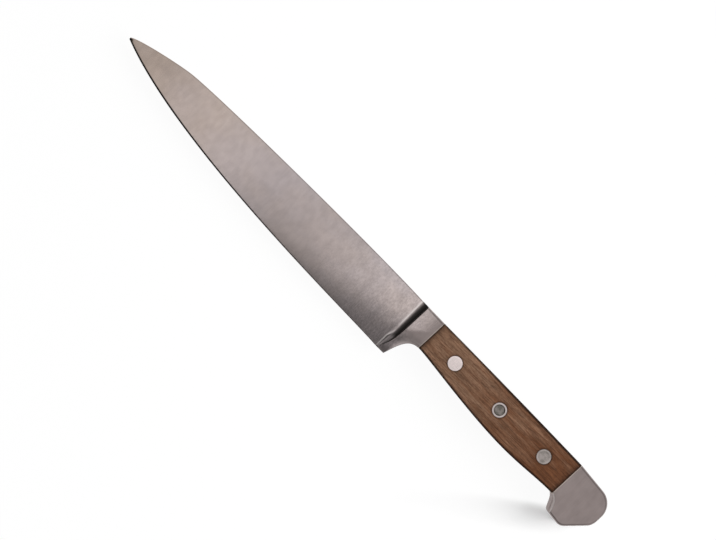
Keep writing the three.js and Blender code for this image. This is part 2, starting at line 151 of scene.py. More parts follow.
def blade_column(x):
    """Points down the blade's left side, one for each row, at that row's own x."""
    top = height_at(spine, x) - SPINE_POLISH
    foot = height_at(edge, x)
    to_tip = np.clip(-x / BLADE_LENGTH, 0, 1)
    bevel = np.minimum(lerp(BEVEL_AT_HEEL, BEVEL_AT_TIP, to_tip), BEVEL_MOST * (top - foot))
    spine_half = lerp(SPINE_AT_HEEL, SPINE_AT_TIP, to_tip) / 2
    on_face = np.clip(rows / face_share, 0, 1)
    on_bevel = np.clip((rows - face_share) / (1 - face_share), 0, 1)
    y = lerp(lerp(top, foot + bevel, on_face), foot, on_bevel)
    ground = lerp(spine_half, SHOULDER_WIDTH / 2, on_face**GRIND_SWELL)
    half = lerp(ground, EDGE_WIDTH / 2, on_bevel)
    return np.stack([x, y, half - round_off(top - y, SPINE_EASE)], -1)


blade_shares = np.linspace(0, 1, BLADE_STEPS + 1) ** TIP_CROWDING
columns = [blade_column(lerp(-BLADE_LENGTH, plunge, share)) for share in blade_shares]

# Front bolster.
# It is forged with the blade. A scoop, left by the grinding wheel, rises from the blade to a crisp ridge,
# and below the ridge the guard thins out and turns up into the choil.
BOLSTER_LENGTH = 14
SCOOP_RADIUS = 4.5
BOLSTER_FRONT_THICK = 9.4
BOLSTER_FULLNESS = 0.7
BOLSTER_EDGE_ROUND = 0.8
RIDGE_EASE = 0.22
GUARD_START = 12
GUARD_FOOT_THICK = 1.2
GUARD_FOOT_REACH = 3.95
GUARD_FALL = 1.5
CHOIL_LEAN_ANGLE = 72.4
CHOIL_LEAN_REACH = 8.6
CHOIL_RUN = 6
CHOIL_ROUND = 2.4
ROUND_MOST = 0.8
HANDLE_DROOP = 2.2
HANDLE_CENTRE_DROP = 8.5
HANDLE_FRONT_HEIGHT = 16.3
HANDLE_FRONT_THICK = 12.8
EDGE_ROUND = 1.2
BELLY_LEAD_ANGLE = 5
END_EASE = 0.3
SCOOP_STEPS = 30
RIDGE_STEPS = 3
BOLSTER_STEPS = 44
EASE_STEPS = 4
HALVINGS = 40

droop = math.radians(HANDLE_DROOP)
handle_turn = np.array([[math.cos(droop), math.sin(droop)], [-math.sin(droop), math.cos(droop)]])
handle_start = np.array([BOLSTER_LENGTH, -HANDLE_CENTRE_DROP])


def from_handle(points):
    """Points in the handle's own frame, whose origin is the middle of the wood's front end."""
    points = np.array(points, float)
    points[..., :2] = points[..., :2] @ handle_turn.T + handle_start
    return points


front_top = HANDLE_FRONT_HEIGHT / 2
wood_top = from_handle([0, front_top])
wood_foot = from_handle([0, -front_top])
wood_end = lerp(wood_top, wood_foot, rows[:, None])
guard_heel = np.array([GUARD_FOOT_REACH, -HEEL_DEPTH])
choil = curve(
    guard_heel,
    away(guard_heel, CHOIL_LEAN_ANGLE, CHOIL_LEAN_REACH),
    away(wood_foot, 180 - HANDLE_DROOP + BELLY_LEAD_ANGLE, CHOIL_RUN),
    wood_foot,
)


def distance_to(line, spots):
    """The distance of each spot from a line of points."""
    start = line[:-1]
    run = line[1:] - start
    offset = spots[..., None, :] - start
    share = np.clip((offset * run).sum(-1) / (run * run).sum(-1), 0, 1)
    return np.linalg.norm(offset - share[..., None] * run, axis=-1).min(-1)


def point_along(line, share):
    """The point at a share of a line's length."""
    steps = np.linalg.norm(np.diff(line, axis=0), axis=1)
    reached = np.concatenate([[0], np.cumsum(steps)])
    return np.array([np.interp(share * reached[-1], reached, line[:, axis]) for axis in (0, 1)])


def eased(value, low, high):
    """0 below a range and 1 above it, with a soft rise between."""
    share = np.clip((value - low) / (high - low), 0, 1)
    return share**2 * (3 - 2 * share)


def bolster_half(spots):
    """Half the bolster's thickness at spots in side view, before the scoop is cut."""
    along = np.clip(spots[..., 0] / BOLSTER_LENGTH, 0, 1)
    swollen = along + BOLSTER_FULLNESS * along * (1 - along)
    full = lerp(BOLSTER_FRONT_THICK, HANDLE_FRONT_THICK, swollen) / 2
    down = np.clip((-spots[..., 1] - GUARD_START) / (HEEL_DEPTH - GUARD_START), 0, 1)
    side = lerp(full, GUARD_FOOT_THICK / 2, eased(down**GUARD_FALL, 0, 1))
    top_round = lerp(BOLSTER_EDGE_ROUND, EDGE_ROUND, along)
    choil_round = np.minimum(lerp(CHOIL_ROUND, EDGE_ROUND, along), ROUND_MOST * side)
    below = np.maximum(lerp(heel_top[1], wood_top[1], along) - spots[..., 1], 0)
    return side - round_off(below, top_round) - round_off(distance_to(choil, spots), choil_round)


plunge_column = blade_column(plunge)


def scoop_column(angle):
    """Points of the scoop, at each row's own angle round the arc from the plunge line."""
    x = plunge_column[:, 0] + SCOOP_RADIUS * np.sin(angle)
    top = lerp(heel_top[1], wood_top[1], np.clip(x / BOLSTER_LENGTH, 0, 1))
    half = plunge_column[:, 2] + SCOOP_RADIUS * (1 - np.cos(angle))
    return np.stack([x, lerp(top, -HEEL_DEPTH, rows), half], -1)


# The ridge is where the scoop meets the bolster's side.
low_angle = np.zeros(len(rows))
high_angle = np.full(len(rows), math.pi / 2)
for _ in range(HALVINGS):
    ridge_angle = (low_angle + high_angle) / 2
    spots = scoop_column(ridge_angle)
    inside = spots[:, 2] < bolster_half(spots[:, :2])
    low_angle = np.where(inside, ridge_angle, low_angle)
    high_angle = np.where(inside, high_angle, ridge_angle)
ridge = scoop_column(ridge_angle)
foot_length = guard_heel[0] - ridge[-1, 0]
choil_length = np.linalg.norm(np.diff(choil, axis=0), axis=1).sum()
foot_share = foot_length / (foot_length + choil_length)


def side_column(across):
    """Points of the bolster's side, from the ridge, 0, to the wood, 1."""
    if across < foot_share:
        bottom = lerp(ridge[-1, :2], guard_heel, across / foot_share)
    else:
        bottom = point_along(choil, (across - foot_share) / (1 - foot_share))
    sides = lerp(ridge[:, :2], wood_end, across)
    ends = lerp(lerp(ridge[0, :2], wood_top, across), bottom, rows[:, None])
    corners = lerp(lerp(ridge[0, :2], ridge[-1, :2], rows[:, None]), wood_end, across)
    spots = sides + ends - corners
    return np.column_stack([spots, bolster_half(spots)])


scoop_end = np.maximum(ridge_angle - RIDGE_EASE / SCOOP_RADIUS, ridge_angle / 2)
side_start = RIDGE_EASE / BOLSTER_LENGTH
columns += [scoop_column(scoop_end * step / SCOOP_STEPS) for step in range(1, SCOOP_STEPS + 1)]
before_ridge = columns[-1]
after_ridge = side_column(side_start)
for step in range(1, RIDGE_STEPS + 1):
    share = step / (RIDGE_STEPS + 1)
    columns.append(lerp(lerp(before_ridge, ridge, share), lerp(ridge, after_ridge, share), share))
side_end = 1 - END_EASE / BOLSTER_LENGTH
columns += [side_column(across) for across in np.linspace(side_start, side_end, BOLSTER_STEPS)]

# The rear edge is eased, which leaves a fine bright line where steel meets wood, and the steel's material
# paints a highlight there as well.
rear_column = side_column(1)
rear_middle = np.append(handle_start, 0)
rearward = np.append(handle_turn @ [1, 0], 0)
for turn in np.linspace(0, math.pi / 2, EASE_STEPS)[1:]:
    short = END_EASE * (1 - math.sin(turn))
    inset = END_EASE * (1 - math.cos(turn)) / (HANDLE_FRONT_THICK / 2)
    columns.append(lerp(rear_column - short * rearward, rear_middle, inset))


def new_object(name, data):
    made = bpy.data.objects.new(name, data)
    bpy.context.scene.collection.objects.link(made)
    return made


def skin(name, rings):
    """A closed mesh over a row of equal rings of points, with a flat cap on each end ring."""
    rings = np.asarray(rings)
    count, size = rings.shape[:2]
    ids = np.arange(count * size).reshape(count, size)
    following = np.roll(ids, -1, axis=1)
    quads = np.stack([ids[:-1], ids[1:], following[1:], following[:-1]], -1).reshape(-1, 4)
    mesh = bpy.data.meshes.new(name)
    mesh.from_pydata(rings.reshape(-1, 3), [], [*quads.tolist(), ids[0].tolist(), ids[-1].tolist()])
    work = bmesh.new()
    work.from_mesh(mesh)
    bmesh.ops.recalc_face_normals(work, faces=work.faces)
    work.to_mesh(mesh)
    work.free()
    return new_object(name, mesh)


def both_sides(column):
    """A ring round the knife from one column of its left side."""
    return np.concatenate([column[::-1], column * [1, 1, -1]])


blank = skin("forged_knife_blank", [both_sides(column) for column in columns])

# Tang and butt cap.
# The full tang fills the handle between the scales and shows as a strip of steel along its back and belly.
# The cap is forged in one with it: a rounded end, a slanted flat and a beak for the little finger.
HANDLE_LENGTH = 89.4
HANDLE_THICK = 17
HANDLE_REAR_TOP = 10.1
HANDLE_REAR_BOTTOM = 8.5
TOP_CROWN = 0.4
BELLY_DEPTH = 11.1
BELLY_AT = 52.6
BELLY_LEAD_REACH = 4.5
BELLY_IN = 0.41
BELLY_OUT = 0.46
BELLY_EXIT_ANGLE = 2
BELLY_EXIT_SHARE = 0.33
TANG_THICK = 3.2
TANG_INSET = 0.06
TANG_ROOT = 3
TANG_STEPS = 60
RIVET_COUNT = 3
RIVET_FRONT_INSET = 16.3
RIVET_REAR_INSET = 14.6
RIVET_LINE_DROP = 0.7
RIVET_LINE_TILT = 0.77
RIVET_PIN = 2.8
RIVET_TUBE_WALL = 0.6
RIVET_FIT = 0.06
HOLE_SIDES = 64
BUTT_LENGTH = 23.4
BUTT_TOP_FALL = 3.4
BUTT_END_ROUND = 8.6
BUTT_FLAT_DROP = 5.1
BUTT_FLAT_ANGLE = 48
BUTT_FLAT_ROUND = 7.2
BEAK_DEPTH = 16.3
BEAK_ROUND = 4.5
BEAK_TIP_ALONG = 4.9
BEAK_TIP_DEPTH = 15.6
BEAK_TIP_ROUND = 2.4
LIP_LEAD_ANGLE = 26
LIP_LEAD_REACH = 2.2
LIP_EXIT_ANGLE = 62
LIP_EXIT_REACH = 2.4
LIP_ROUND = 1.9
LIP_ROUND_RUN = 4
BUTT_FRONT_EASE = 0.28
ARC_STEPS = 20
ROUND_STEPS = 14
OUTLINE_STEP = 0.35

handle_top = curve(
    [0, front_top],
    [HANDLE_LENGTH / 2, (front_top + HANDLE_REAR_TOP) / 2 + TOP_CROWN],
    [HANDLE_LENGTH, HANDLE_REAR_TOP],
)
belly = np.array([BELLY_AT, -BELLY_DEPTH])
belly_start = np.array([0, -front_top])
belly_end = np.array([HANDLE_LENGTH, -HANDLE_REAR_BOTTOM])
belly_to_end = HANDLE_LENGTH - BELLY_AT
belly_front = curve(
    belly_start,
    away(belly_start, BELLY_LEAD_ANGLE, BELLY_LEAD_REACH),
    away(belly, 180, BELLY_IN * BELLY_AT),
    belly,
)
belly_rear = curve(
    belly,
    away(belly, 0, BELLY_OUT * belly_to_end),
    away(belly_end, 180 + BELLY_EXIT_ANGLE, BELLY_EXIT_SHARE * belly_to_end),
    belly_end,
)
handle_bottom = np.concatenate([belly_front, belly_rear[1:]])


def tang_ring(x):
    """The tang's section at a place along the handle."""
    top = height_at(handle_top, x) - TANG_INSET
    bottom = height_at(handle_bottom, x) + TANG_INSET
    half = TANG_THICK / 2
    return from_handle([[x, bottom, -half], [x, bottom, half], [x, top, half], [x, top, -half]])


tang_stations = np.linspace(-TANG_ROOT, HANDLE_LENGTH + TANG_ROOT, TANG_STEPS)
tang = skin("tang", [tang_ring(x) for x in tang_stations])


def rounded_corner(before, corner, after, radius):
    """The arc that rounds a corner between two straight runs."""
    back = (before - corner) / np.linalg.norm(before - corner)
    ahead = (after - corner) / np.linalg.norm(after - corner)
    half = math.acos(back @ ahead) / 2
    middle = back + ahead
    centre = corner + middle / np.linalg.norm(middle) * radius / math.sin(half)
    start = corner + back * radius / math.tan(half) - centre
    end = corner + ahead * radius / math.tan(half) - centre
    sweep = math.atan2(start[0] * end[1] - start[1] * end[0], start @ end)
    turns = math.atan2(start[1], start[0]) + sweep * np.linspace(0, 1, ARC_STEPS)
    return centre + radius * np.column_stack([np.cos(turns), np.sin(turns)])


butt_end = HANDLE_LENGTH + BUTT_LENGTH
flat_run = (BEAK_DEPTH - BUTT_FLAT_DROP) / math.tan(math.radians(BUTT_FLAT_ANGLE))
top_front = np.array([HANDLE_LENGTH, HANDLE_REAR_TOP])
top_rear = np.array([butt_end, HANDLE_REAR_TOP - BUTT_LENGTH * math.tan(math.radians(BUTT_TOP_FALL))])
flat_top = np.array([butt_end, -BUTT_FLAT_DROP])
flat_foot = np.array([butt_end - flat_run, -BEAK_DEPTH])
beak_tip = np.array([HANDLE_LENGTH + BEAK_TIP_ALONG, -BEAK_TIP_DEPTH])
lip_start = np.array([HANDLE_LENGTH, -HANDLE_REAR_BOTTOM])
lip_end = away(beak_tip, 180 - LIP_EXIT_ANGLE, LIP_EXIT_REACH)
lip = curve(
    lip_end,
    away(lip_end, 180 - LIP_EXIT_ANGLE, LIP_EXIT_REACH),
    away(lip_start, -LIP_LEAD_ANGLE, LIP_LEAD_REACH),
    lip_start,
)
corner_line = np.concatenate([
    [top_front],
    rounded_corner(top_front, top_rear, flat_top, BUTT_END_ROUND),
    rounded_corner(top_rear, flat_top, flat_foot, BUTT_FLAT_ROUND),
    rounded_corner(flat_top, flat_foot, beak_tip, BEAK_ROUND),
    rounded_corner(flat_foot, beak_tip, lip_end, BEAK_TIP_ROUND),
    lip,
])
line_length = np.linalg.norm(np.diff(corner_line, axis=0), axis=1).sum()
line_shares = np.linspace(0, 1, int(line_length / OUTLINE_STEP))
butt_line = np.array([point_along(corner_line, share) for share in line_shares])

# Each ring of the cap lies inside the outline by the round's inset, with its ends on the wood's rear end.
# The round is fuller along the lip, where the finger rests.
line_run = np.gradient(butt_line, axis=0)
inward = np.column_stack([line_run[:, 1], -line_run[:, 0]])
inward /= np.linalg.norm(inward, axis=1)[:, None]
inward[0] = [0, -1]
inward[-1] = [0, 1]
to_lip_end = (1 - line_shares) * line_length
lip_length = np.linalg.norm(np.diff(lip, axis=0), axis=1).sum()
off_wood = eased(to_lip_end, 0, LIP_ROUND_RUN)
past_beak = eased(lip_length + LIP_ROUND_RUN - to_lip_end, 0, LIP_ROUND_RUN)
butt_round = lerp(EDGE_ROUND, LIP_ROUND, off_wood * past_beak)


def butt_ring(turn):
    """A ring of the cap, from its right side, at minus a quarter turn, to its left, at a quarter turn."""
    spots = butt_line + inward * (butt_round * (1 - math.cos(turn)))[:, None]
    half = HANDLE_THICK / 2 - butt_round * (1 - abs(math.sin(turn)))
    short = round_off(HANDLE_THICK / 2 - half, BUTT_FRONT_EASE)
    spots[:, 0] = np.maximum(spots[:, 0], HANDLE_LENGTH + short)
    return from_handle(np.column_stack([spots, math.copysign(1, turn) * half]))


quarter_turns = np.linspace(0, math.pi / 2, ROUND_STEPS)
butt_turns = np.concatenate([-quarter_turns[::-1], quarter_turns])
butt = skin("butt_cap", [butt_ring(turn) for turn in butt_turns])


def settle(piece):
    """Turns a piece and its modifiers into plain mesh."""
    graph = bpy.context.evaluated_depsgraph_get()
    settled = bpy.data.meshes.new_from_object(piece.evaluated_get(graph))
    piece.modifiers.clear()
    loose = piece.data
    piece.data = settled
    bpy.data.meshes.remove(loose)


def carve(piece, tool, operation):
    """Joins a tool shape to a piece, or cuts it away, and drops the tool."""
    modifier = piece.modifiers.new("carve", "BOOLEAN")
    modifier.operation = operation
    modifier.solver = "EXACT"
    modifier.object = tool
    settle(piece)
    bpy.data.objects.remove(tool)


def round_tool(place, radius, low, high):
    """A round cutting tool through the handle, from one height to another."""
    turns = np.linspace(0, 2 * math.pi, HOLE_SIDES, endpoint=False)
    circle = place + radius * np.column_stack([np.cos(turns), np.sin(turns)])
    rings = [from_handle(np.column_stack([circle, np.full(HOLE_SIDES, z)])) for z in (low, high)]
    return skin("tool", rings)


rivet_pitch = (HANDLE_LENGTH - RIVET_FRONT_INSET - RIVET_REAR_INSET) / (RIVET_COUNT - 1)
first_rivet = np.array([RIVET_FRONT_INSET, -RIVET_LINE_DROP])
rivet_places = [away(first_rivet, RIVET_LINE_TILT, index * rivet_pitch) for index in range(RIVET_COUNT)]
tube_radius = RIVET_PIN / 2 + RIVET_FIT + RIVET_TUBE_WALL
for place in rivet_places:
    carve(tang, round_tool(place, tube_radius + RIVET_FIT, -HANDLE_THICK, HANDLE_THICK), "DIFFERENCE")
carve(blank, tang, "UNION")
carve(blank, butt, "UNION")

# Steel of the blank.
# Stainless steel, ground across the blade, and greyer and more worn towards the heel. The bolster and the
# butt cap are dulled by the mop to a grey that is partly painted shade. Painted shade and painted dark
# reflection darken the scoop, the guard and the tip's bevel, and painted highlights mark the scoop, the
# choil, the lip and the joints.
BLADE_STEEL = (0.556, 0.447, 0.378, 1)
BLADE_GREY = (0.517, 0.454, 0.458, 1)
MOPPED_STEEL = (0.322, 0.268, 0.258, 1)
PAINTED_SHADE_STEEL = (0.011, 0.01, 0.009, 1)
HIGHLIGHT_STEEL = (0.86, 0.79, 0.77, 1)
HATCH_STEEL = (0.265, 0.23, 0.22, 1)
JOINT_HIGHLIGHT_STEEL = (0.62, 0.53, 0.47, 1)
TIP_GREY = 0.15
HEEL_GREY = 0.8
GREY_FROM = -180
GREY_TO = -95
CLOUD_GREY = 0.13
CLOUD_SPREAD = 0.12
MOTTLE = 0.035
LINES = 0.03
WORN_FROM = -75
WORN_TO = -20
FRESH_SPECKLE = 0.04
WORN_SPECKLE = 0.055
FRESH_GRAIN = 0.01
WORN_GRAIN = 0.13
HATCH = 0.55
HATCH_SHARE = (0.5, 0.62)
JOINT_HIGHLIGHT = 0.9
JOINT_WIDTH = 0.45
FINE_ROUGHNESS = 0.14
COARSE_ROUGHNESS = 0.18
MOP_ROUGHNESS = 0.14
MATT_ROUGHNESS = 0.3
GROOVE_STRENGTH = 0.5
GROOVE_DEPTH = 0.003
SMOOTH_BELOW = 32


def add_node(tree, kind, sockets=None, **settings):
    """A node with its settings, and its sockets set to values or linked to other sockets."""
    node = tree.nodes.new(kind)
    for name, value in settings.items():
        setattr(node, name, value)
    for socket, value in (sockets or {}).items():
        if isinstance(value, bpy.types.NodeSocket):
            tree.links.new(value, node.inputs[socket])
        else:
            node.inputs[socket].default_value = value
    return node


def noise_at(tree, turn, scale, detail=3.0, roughness=0.5, shift=(0, 0, 0)):
    """Noise on Object coordinates, stretched by its scale per metre along each axis."""
    place = add_node(tree, "ShaderNodeTexCoord")
    mapped = add_node(tree, "ShaderNodeMapping", {
        "Vector": place.outputs["Object"], "Rotation": (0, 0, turn), "Location": shift, "Scale": scale,
    })
    return add_node(tree, "ShaderNodeTexNoise", {
        "Vector": mapped.outputs["Vector"], "Scale": 1.0, "Detail": detail, "Roughness": roughness,
    }).outputs["Fac"]


def ranged(tree, value, low, high, to_low=0.0, to_high=1.0, run="LINEAR"):
    """A value taken from one range to another, and held inside it."""
    return add_node(tree, "ShaderNodeMapRange", {
        "Value": value, "From Min": low, "From Max": high, "To Min": to_low, "To Max": to_high,
    }, interpolation_type=run).outputs["Result"]


def mixed(tree, share, first, second, blend="MIX"):
    """Two colours mixed by a share."""
    return add_node(tree, "ShaderNodeMixRGB", {
        "Fac": share, "Color1": first, "Color2": second,
    }, blend_type=blend).outputs["Color"]


def waver(tree, pattern, low, high, spread=0.2):
    """A value between two others that follows a noise, most of which lies in a spread about its middle."""
    return ranged(tree, pattern, 0.5 - spread, 0.5 + spread, low, high)


def varied(tree, colour, pattern, dark, pale, spread=0.2):
    """A colour that follows a noise from a darker to a paler share of itself."""
    return mixed(tree, 1.0, colour, waver(tree, pattern, dark, pale, spread), "MULTIPLY")


def maths(tree, operation, first, second=0.0):
    return add_node(tree, "ShaderNodeMath", {0: first, 1: second}, operation=operation).outputs[0]


def vector_maths(tree, operation, first, second=(0, 0, 0), result=0):
    node = add_node(tree, "ShaderNodeVectorMath", {0: first, 1: second}, operation=operation)
    return node.outputs[result]


def painted(tree, name):
    """The value painted on a piece's points under a name."""
    return add_node(tree, "ShaderNodeAttribute", attribute_name=name).outputs["Fac"]


def new_material(name):
    """A material, its tree and its shader."""
    made = bpy.data.materials.new(name)
    made.use_nodes = True
    return made, made.node_tree, made.node_tree.nodes["Principled BSDF"]


blank_low, blank_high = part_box("forged_blank")
MM = 0.001
knife_place = Matrix.Translation((
    blank_low.x + BLADE_LENGTH * MM,
    blank_low.y + HEEL_DEPTH * MM,
    (blank_low.z + blank_high.z) / 2,
)) @ Matrix.Scale(MM, 4)


def in_metres(point):
    """A point of the handle's own frame, in the knife's place in metres."""
    x, y = from_handle(point)
    return knife_place @ Vector((x, y, 0))


def along_handle(tree):
    """How far a place lies behind the front end of the wood, in millimetres."""
    place = add_node(tree, "ShaderNodeTexCoord").outputs["Object"]
    past_front = vector_maths(tree, "SUBTRACT", place, in_metres([0, 0]))
    rearward = (*(handle_turn @ [1 / MM, 0]), 0)
    return vector_maths(tree, "DOT_PRODUCT", past_front, rearward, "Value")


def satin_steel():
    made, tree, shader = new_material("satin_ground_steel")
    clouds = noise_at(tree, 0, (32, 45, 45), detail=4)
    mottle = noise_at(tree, 0, (110, 140, 140), detail=3, shift=(2, 5, 1))
    speckle = noise_at(tree, 0, (420, 260, 260), detail=0, shift=(4, 2, 7))
    grain = noise_at(tree, 0, (1300, 800, 800), detail=1, shift=(1, 6, 3))
    lines = noise_at(tree, 0, (1500, 110, 110), detail=2)
    fine_lines = noise_at(tree, 0, (5200, 160, 160), detail=2, shift=(3, 1, 2))
    behind = along_handle(tree)
    mop_and_shade = painted(tree, "mop_and_shade")

    from_tip = ranged(tree, behind, GREY_FROM, GREY_TO, TIP_GREY, HEEL_GREY)
    grey = maths(tree, "ADD", from_tip, waver(tree, clouds, -CLOUD_GREY, CLOUD_GREY, CLOUD_SPREAD))
    colour = mixed(tree, ranged(tree, grey, 0.0, 1.0), BLADE_STEEL, BLADE_GREY)
    hatch = maths(tree, "MULTIPLY", painted(tree, "edge"), ranged(tree, lines, *HATCH_SHARE, 0.0, HATCH))
    colour = mixed(tree, hatch, colour, HATCH_STEEL)
    # The mop's duller grey, with painted shade across the bolster.
    colour = mixed(tree, mop_and_shade, colour, MOPPED_STEEL)
    colour = varied(tree, colour, mottle, 1 - MOTTLE, 1 + MOTTLE)
    unmopped = maths(tree, "SUBTRACT", 1.0, mop_and_shade)
    worn = maths(tree, "MULTIPLY", ranged(tree, behind, WORN_FROM, WORN_TO), unmopped)
    for pattern, fresh, used in ((speckle, FRESH_SPECKLE, WORN_SPECKLE), (grain, FRESH_GRAIN, WORN_GRAIN)):
        depth = ranged(tree, worn, 0.0, 1.0, fresh, used)
        dark = maths(tree, "SUBTRACT", 1.0, depth)
        pale = maths(tree, "ADD", 1.0, depth)
        colour = varied(tree, colour, pattern, dark, pale)
    colour = varied(tree, colour, lines, 1 - LINES, 1 + LINES)
    # Painted shade and painted dark reflection, carried by the "skin" attribute.
    colour = mixed(tree, painted(tree, "skin"), colour, PAINTED_SHADE_STEEL)
    # Painted highlights, carried by the "glint" attribute.
    colour = mixed(tree, painted(tree, "glint"), colour, HIGHLIGHT_STEEL)
    # A painted highlight along both joints of steel and wood.
    off_front = maths(tree, "ABSOLUTE", maths(tree, "ADD", behind, JOINT_WIDTH / 2))
    off_rear = maths(tree, "ABSOLUTE", maths(tree, "SUBTRACT", behind, HANDLE_LENGTH + JOINT_WIDTH / 2))
    off_joint = maths(tree, "MINIMUM", off_front, off_rear)
    joint_highlight = ranged(tree, off_joint, JOINT_WIDTH / 4, JOINT_WIDTH / 2, JOINT_HIGHLIGHT, 0.0)
    tree.links.new(mixed(tree, joint_highlight, colour, JOINT_HIGHLIGHT_STEEL), shader.inputs["Base Color"])

    ground = waver(tree, lines, FINE_ROUGHNESS, COARSE_ROUGHNESS)
    roughness = maths(tree, "ADD", ground, maths(tree, "MULTIPLY", mop_and_shade, MOP_ROUGHNESS))
    matt = maths(tree, "MULTIPLY", painted(tree, "matt"), MATT_ROUGHNESS)
    tree.links.new(maths(tree, "ADD", roughness, matt), shader.inputs["Roughness"])
    shader.inputs["Metallic"].default_value = 1.0
    grooves = add_node(tree, "ShaderNodeBump", {
        "Height": fine_lines, "Strength": GROOVE_STRENGTH, "Distance": GROOVE_DEPTH * MM,
    })
    tree.links.new(grooves.outputs["Normal"], shader.inputs["Normal"])
    return made


def finish_piece(piece, slot, *nodes):
    """Smooths a piece, puts it in its place in metres and lets it stand for its nodes."""
    piece.data.shade_smooth()
    piece.data.set_sharp_from_angle(angle=math.radians(SMOOTH_BELOW))
    piece.data.transform(knife_place)
    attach(piece, "root")
    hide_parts(*nodes)


def vertices_of(piece):
    """A piece's points as rows of numbers."""
    points = np.empty(len(piece.data.vertices) * 3, np.float32)
    piece.data.vertices.foreach_get("co", points)
    return points.reshape(-1, 3).astype(float)


def paint(piece, name, values):
    """Keeps a value for each point of a piece, for its material to read."""
    layer = piece.data.attributes.new(name, "FLOAT", "POINT")
    layer.data.foreach_set("value", np.asarray(values, np.float32))


def hump(value, middle, width):
    return np.exp(-(((value - middle) / width) ** 2))


blank_x, blank_y, blank_z = vertices_of(blank).T
below_spine = -blank_y
ridge_x = np.interp(below_spine, -ridge[:, 1], ridge[:, 0])
past_ridge = blank_x - ridge_x

# A painted highlight runs down the scoop's front, fades above the guard and bends forward at its foot.
# Behind it a painted dark reflection darkens the scoop up to the ridge. At the foot the painted dark keeps
# to a thin line beside the highlight and to the ridge, and a painted shade lies on the blade side of the
# highlight where it fades.
GLINT_WIDTH = 0.32
GLINT_BEND = 19.5
GLINT_FOOT = 22.8
GLINT_FOOT_REACH = 0.95
GLINT_FADE_AT = 17.5
GLINT_FADE_WIDTH = 3.2
SHADE_START = 0.07
SHADE_RUN = 0.15
FOOT_SHADE = 0.5
FOOT_LINE = 0.4
FOOT_LINE_AT = 0.18
FOOT_LINE_WIDTH = 0.12
FOOT_RIDGE = 0.45
FOOT_RIDGE_AT = 0.88
FOOT_RIDGE_WIDTH = 0.2
FOOT_FROM = 0.66
FOOT_TO = 0.76
PLUNGE_SHADE = 0.28
PLUNGE_SHADE_AT = -0.8
PLUNGE_SHADE_WIDTH = 0.7

down = np.clip(below_spine / HEEL_DEPTH, 0, 1)
plunge_x = -lerp(PLUNGE_TOP, PLUNGE_FOOT, down)
glint_x = np.interp(below_spine, [GLINT_BEND, GLINT_FOOT], [0, -GLINT_FOOT_REACH])
glint_fade = hump(below_spine, GLINT_FADE_AT, GLINT_FADE_WIDTH)
scoop_glint = hump(blank_x, glint_x, GLINT_WIDTH) * (1 - glint_fade)
up_scoop = (blank_x - glint_x) / (ridge_x - glint_x)
upper_shade = 1 - np.exp(-np.maximum(up_scoop - SHADE_START, 0) / SHADE_RUN)
foot_line = FOOT_LINE * hump(up_scoop, FOOT_LINE_AT, FOOT_LINE_WIDTH)
foot_ridge = FOOT_RIDGE * hump(up_scoop, FOOT_RIDGE_AT, FOOT_RIDGE_WIDTH)
foot_shade = (FOOT_SHADE + foot_line + foot_ridge) * (up_scoop > SHADE_START)
in_scoop = (blank_x > plunge_x) & (past_ridge < -RIDGE_EASE / 2)
scoop_shade = in_scoop * lerp(upper_shade, foot_shade, eased(down, FOOT_FROM, FOOT_TO))
plunge_shade = PLUNGE_SHADE * hump(blank_x, PLUNGE_SHADE_AT, PLUNGE_SHADE_WIDTH) * glint_fade

# The mop dulls the bolster from the ridge back, a gradient that is partly painted shade, and painted shade
# darkens it sooner low down. The mop misses the guard, which stays matt; painted shade darkens it to its
# foot, along the choil's rim and beyond a painted highlight that lies beside the choil.
MOP_RUN = 10.5
LOW_SHADE_FROM = 13
LOW_SHADE_TO = 17
MATT_FROM = 13.5
MATT_TO = 17
GUARD_SHADE = 0.55
GUARD_SHADE_FROM = 23
GUARD_SHADE_TO = 28.5
CHOIL_RIM_SHADE = 0.5
CHOIL_RIM_SHADE_RUN = 0.7
CHOIL_HIGHLIGHT = 0.22
CHOIL_HIGHLIGHT_AT = 1.3
CHOIL_HIGHLIGHT_WIDTH = 0.6
CHOIL_SHADE = 0.25
CHOIL_SHADE_AT = 3.3
CHOIL_SHADE_WIDTH = 0.8

on_guard = (past_ridge > 0) & (blank_x < BOLSTER_LENGTH) & (below_spine > GUARD_START)
matt_share = eased(below_spine, MATT_FROM, MATT_TO)
low_shade = eased(past_ridge + below_spine, LOW_SHADE_FROM, LOW_SHADE_TO) * (1 - matt_share) * (past_ridge > 0)
mop_and_shade = np.maximum(eased(past_ridge, 0, MOP_RUN), low_shade)
off_choil = distance_to(choil, np.column_stack([blank_x, blank_y]))
foot_dark = GUARD_SHADE * eased(below_spine, GUARD_SHADE_FROM, GUARD_SHADE_TO)
rim_dark = CHOIL_RIM_SHADE * (1 - eased(off_choil, 0, CHOIL_RIM_SHADE_RUN))
choil_shade = CHOIL_SHADE * hump(off_choil, CHOIL_SHADE_AT, CHOIL_SHADE_WIDTH) * matt_share
guard_shade = on_guard * np.max([foot_dark, rim_dark, choil_shade], axis=0)
above_foot = 1 - eased(below_spine, GLINT_BEND, GUARD_SHADE_FROM)
choil_highlight = CHOIL_HIGHLIGHT * hump(off_choil, CHOIL_HIGHLIGHT_AT, CHOIL_HIGHLIGHT_WIDTH) * above_foot * on_guard

# The lip of the butt cap is matt, its round brighter and with a highlight line, both painted highlights.
LIP_FINISH_RUN = 0.95
LIP_POLISH_HIGHLIGHT = 0.5
LIP_MATT = 1.8
LIP_MATT_RUN = 0.25
LIP_GLINT = 0.75
LIP_GLINT_RISE = (0.02, 0.1)
LIP_GLINT_FALL = (0.35, 0.8)

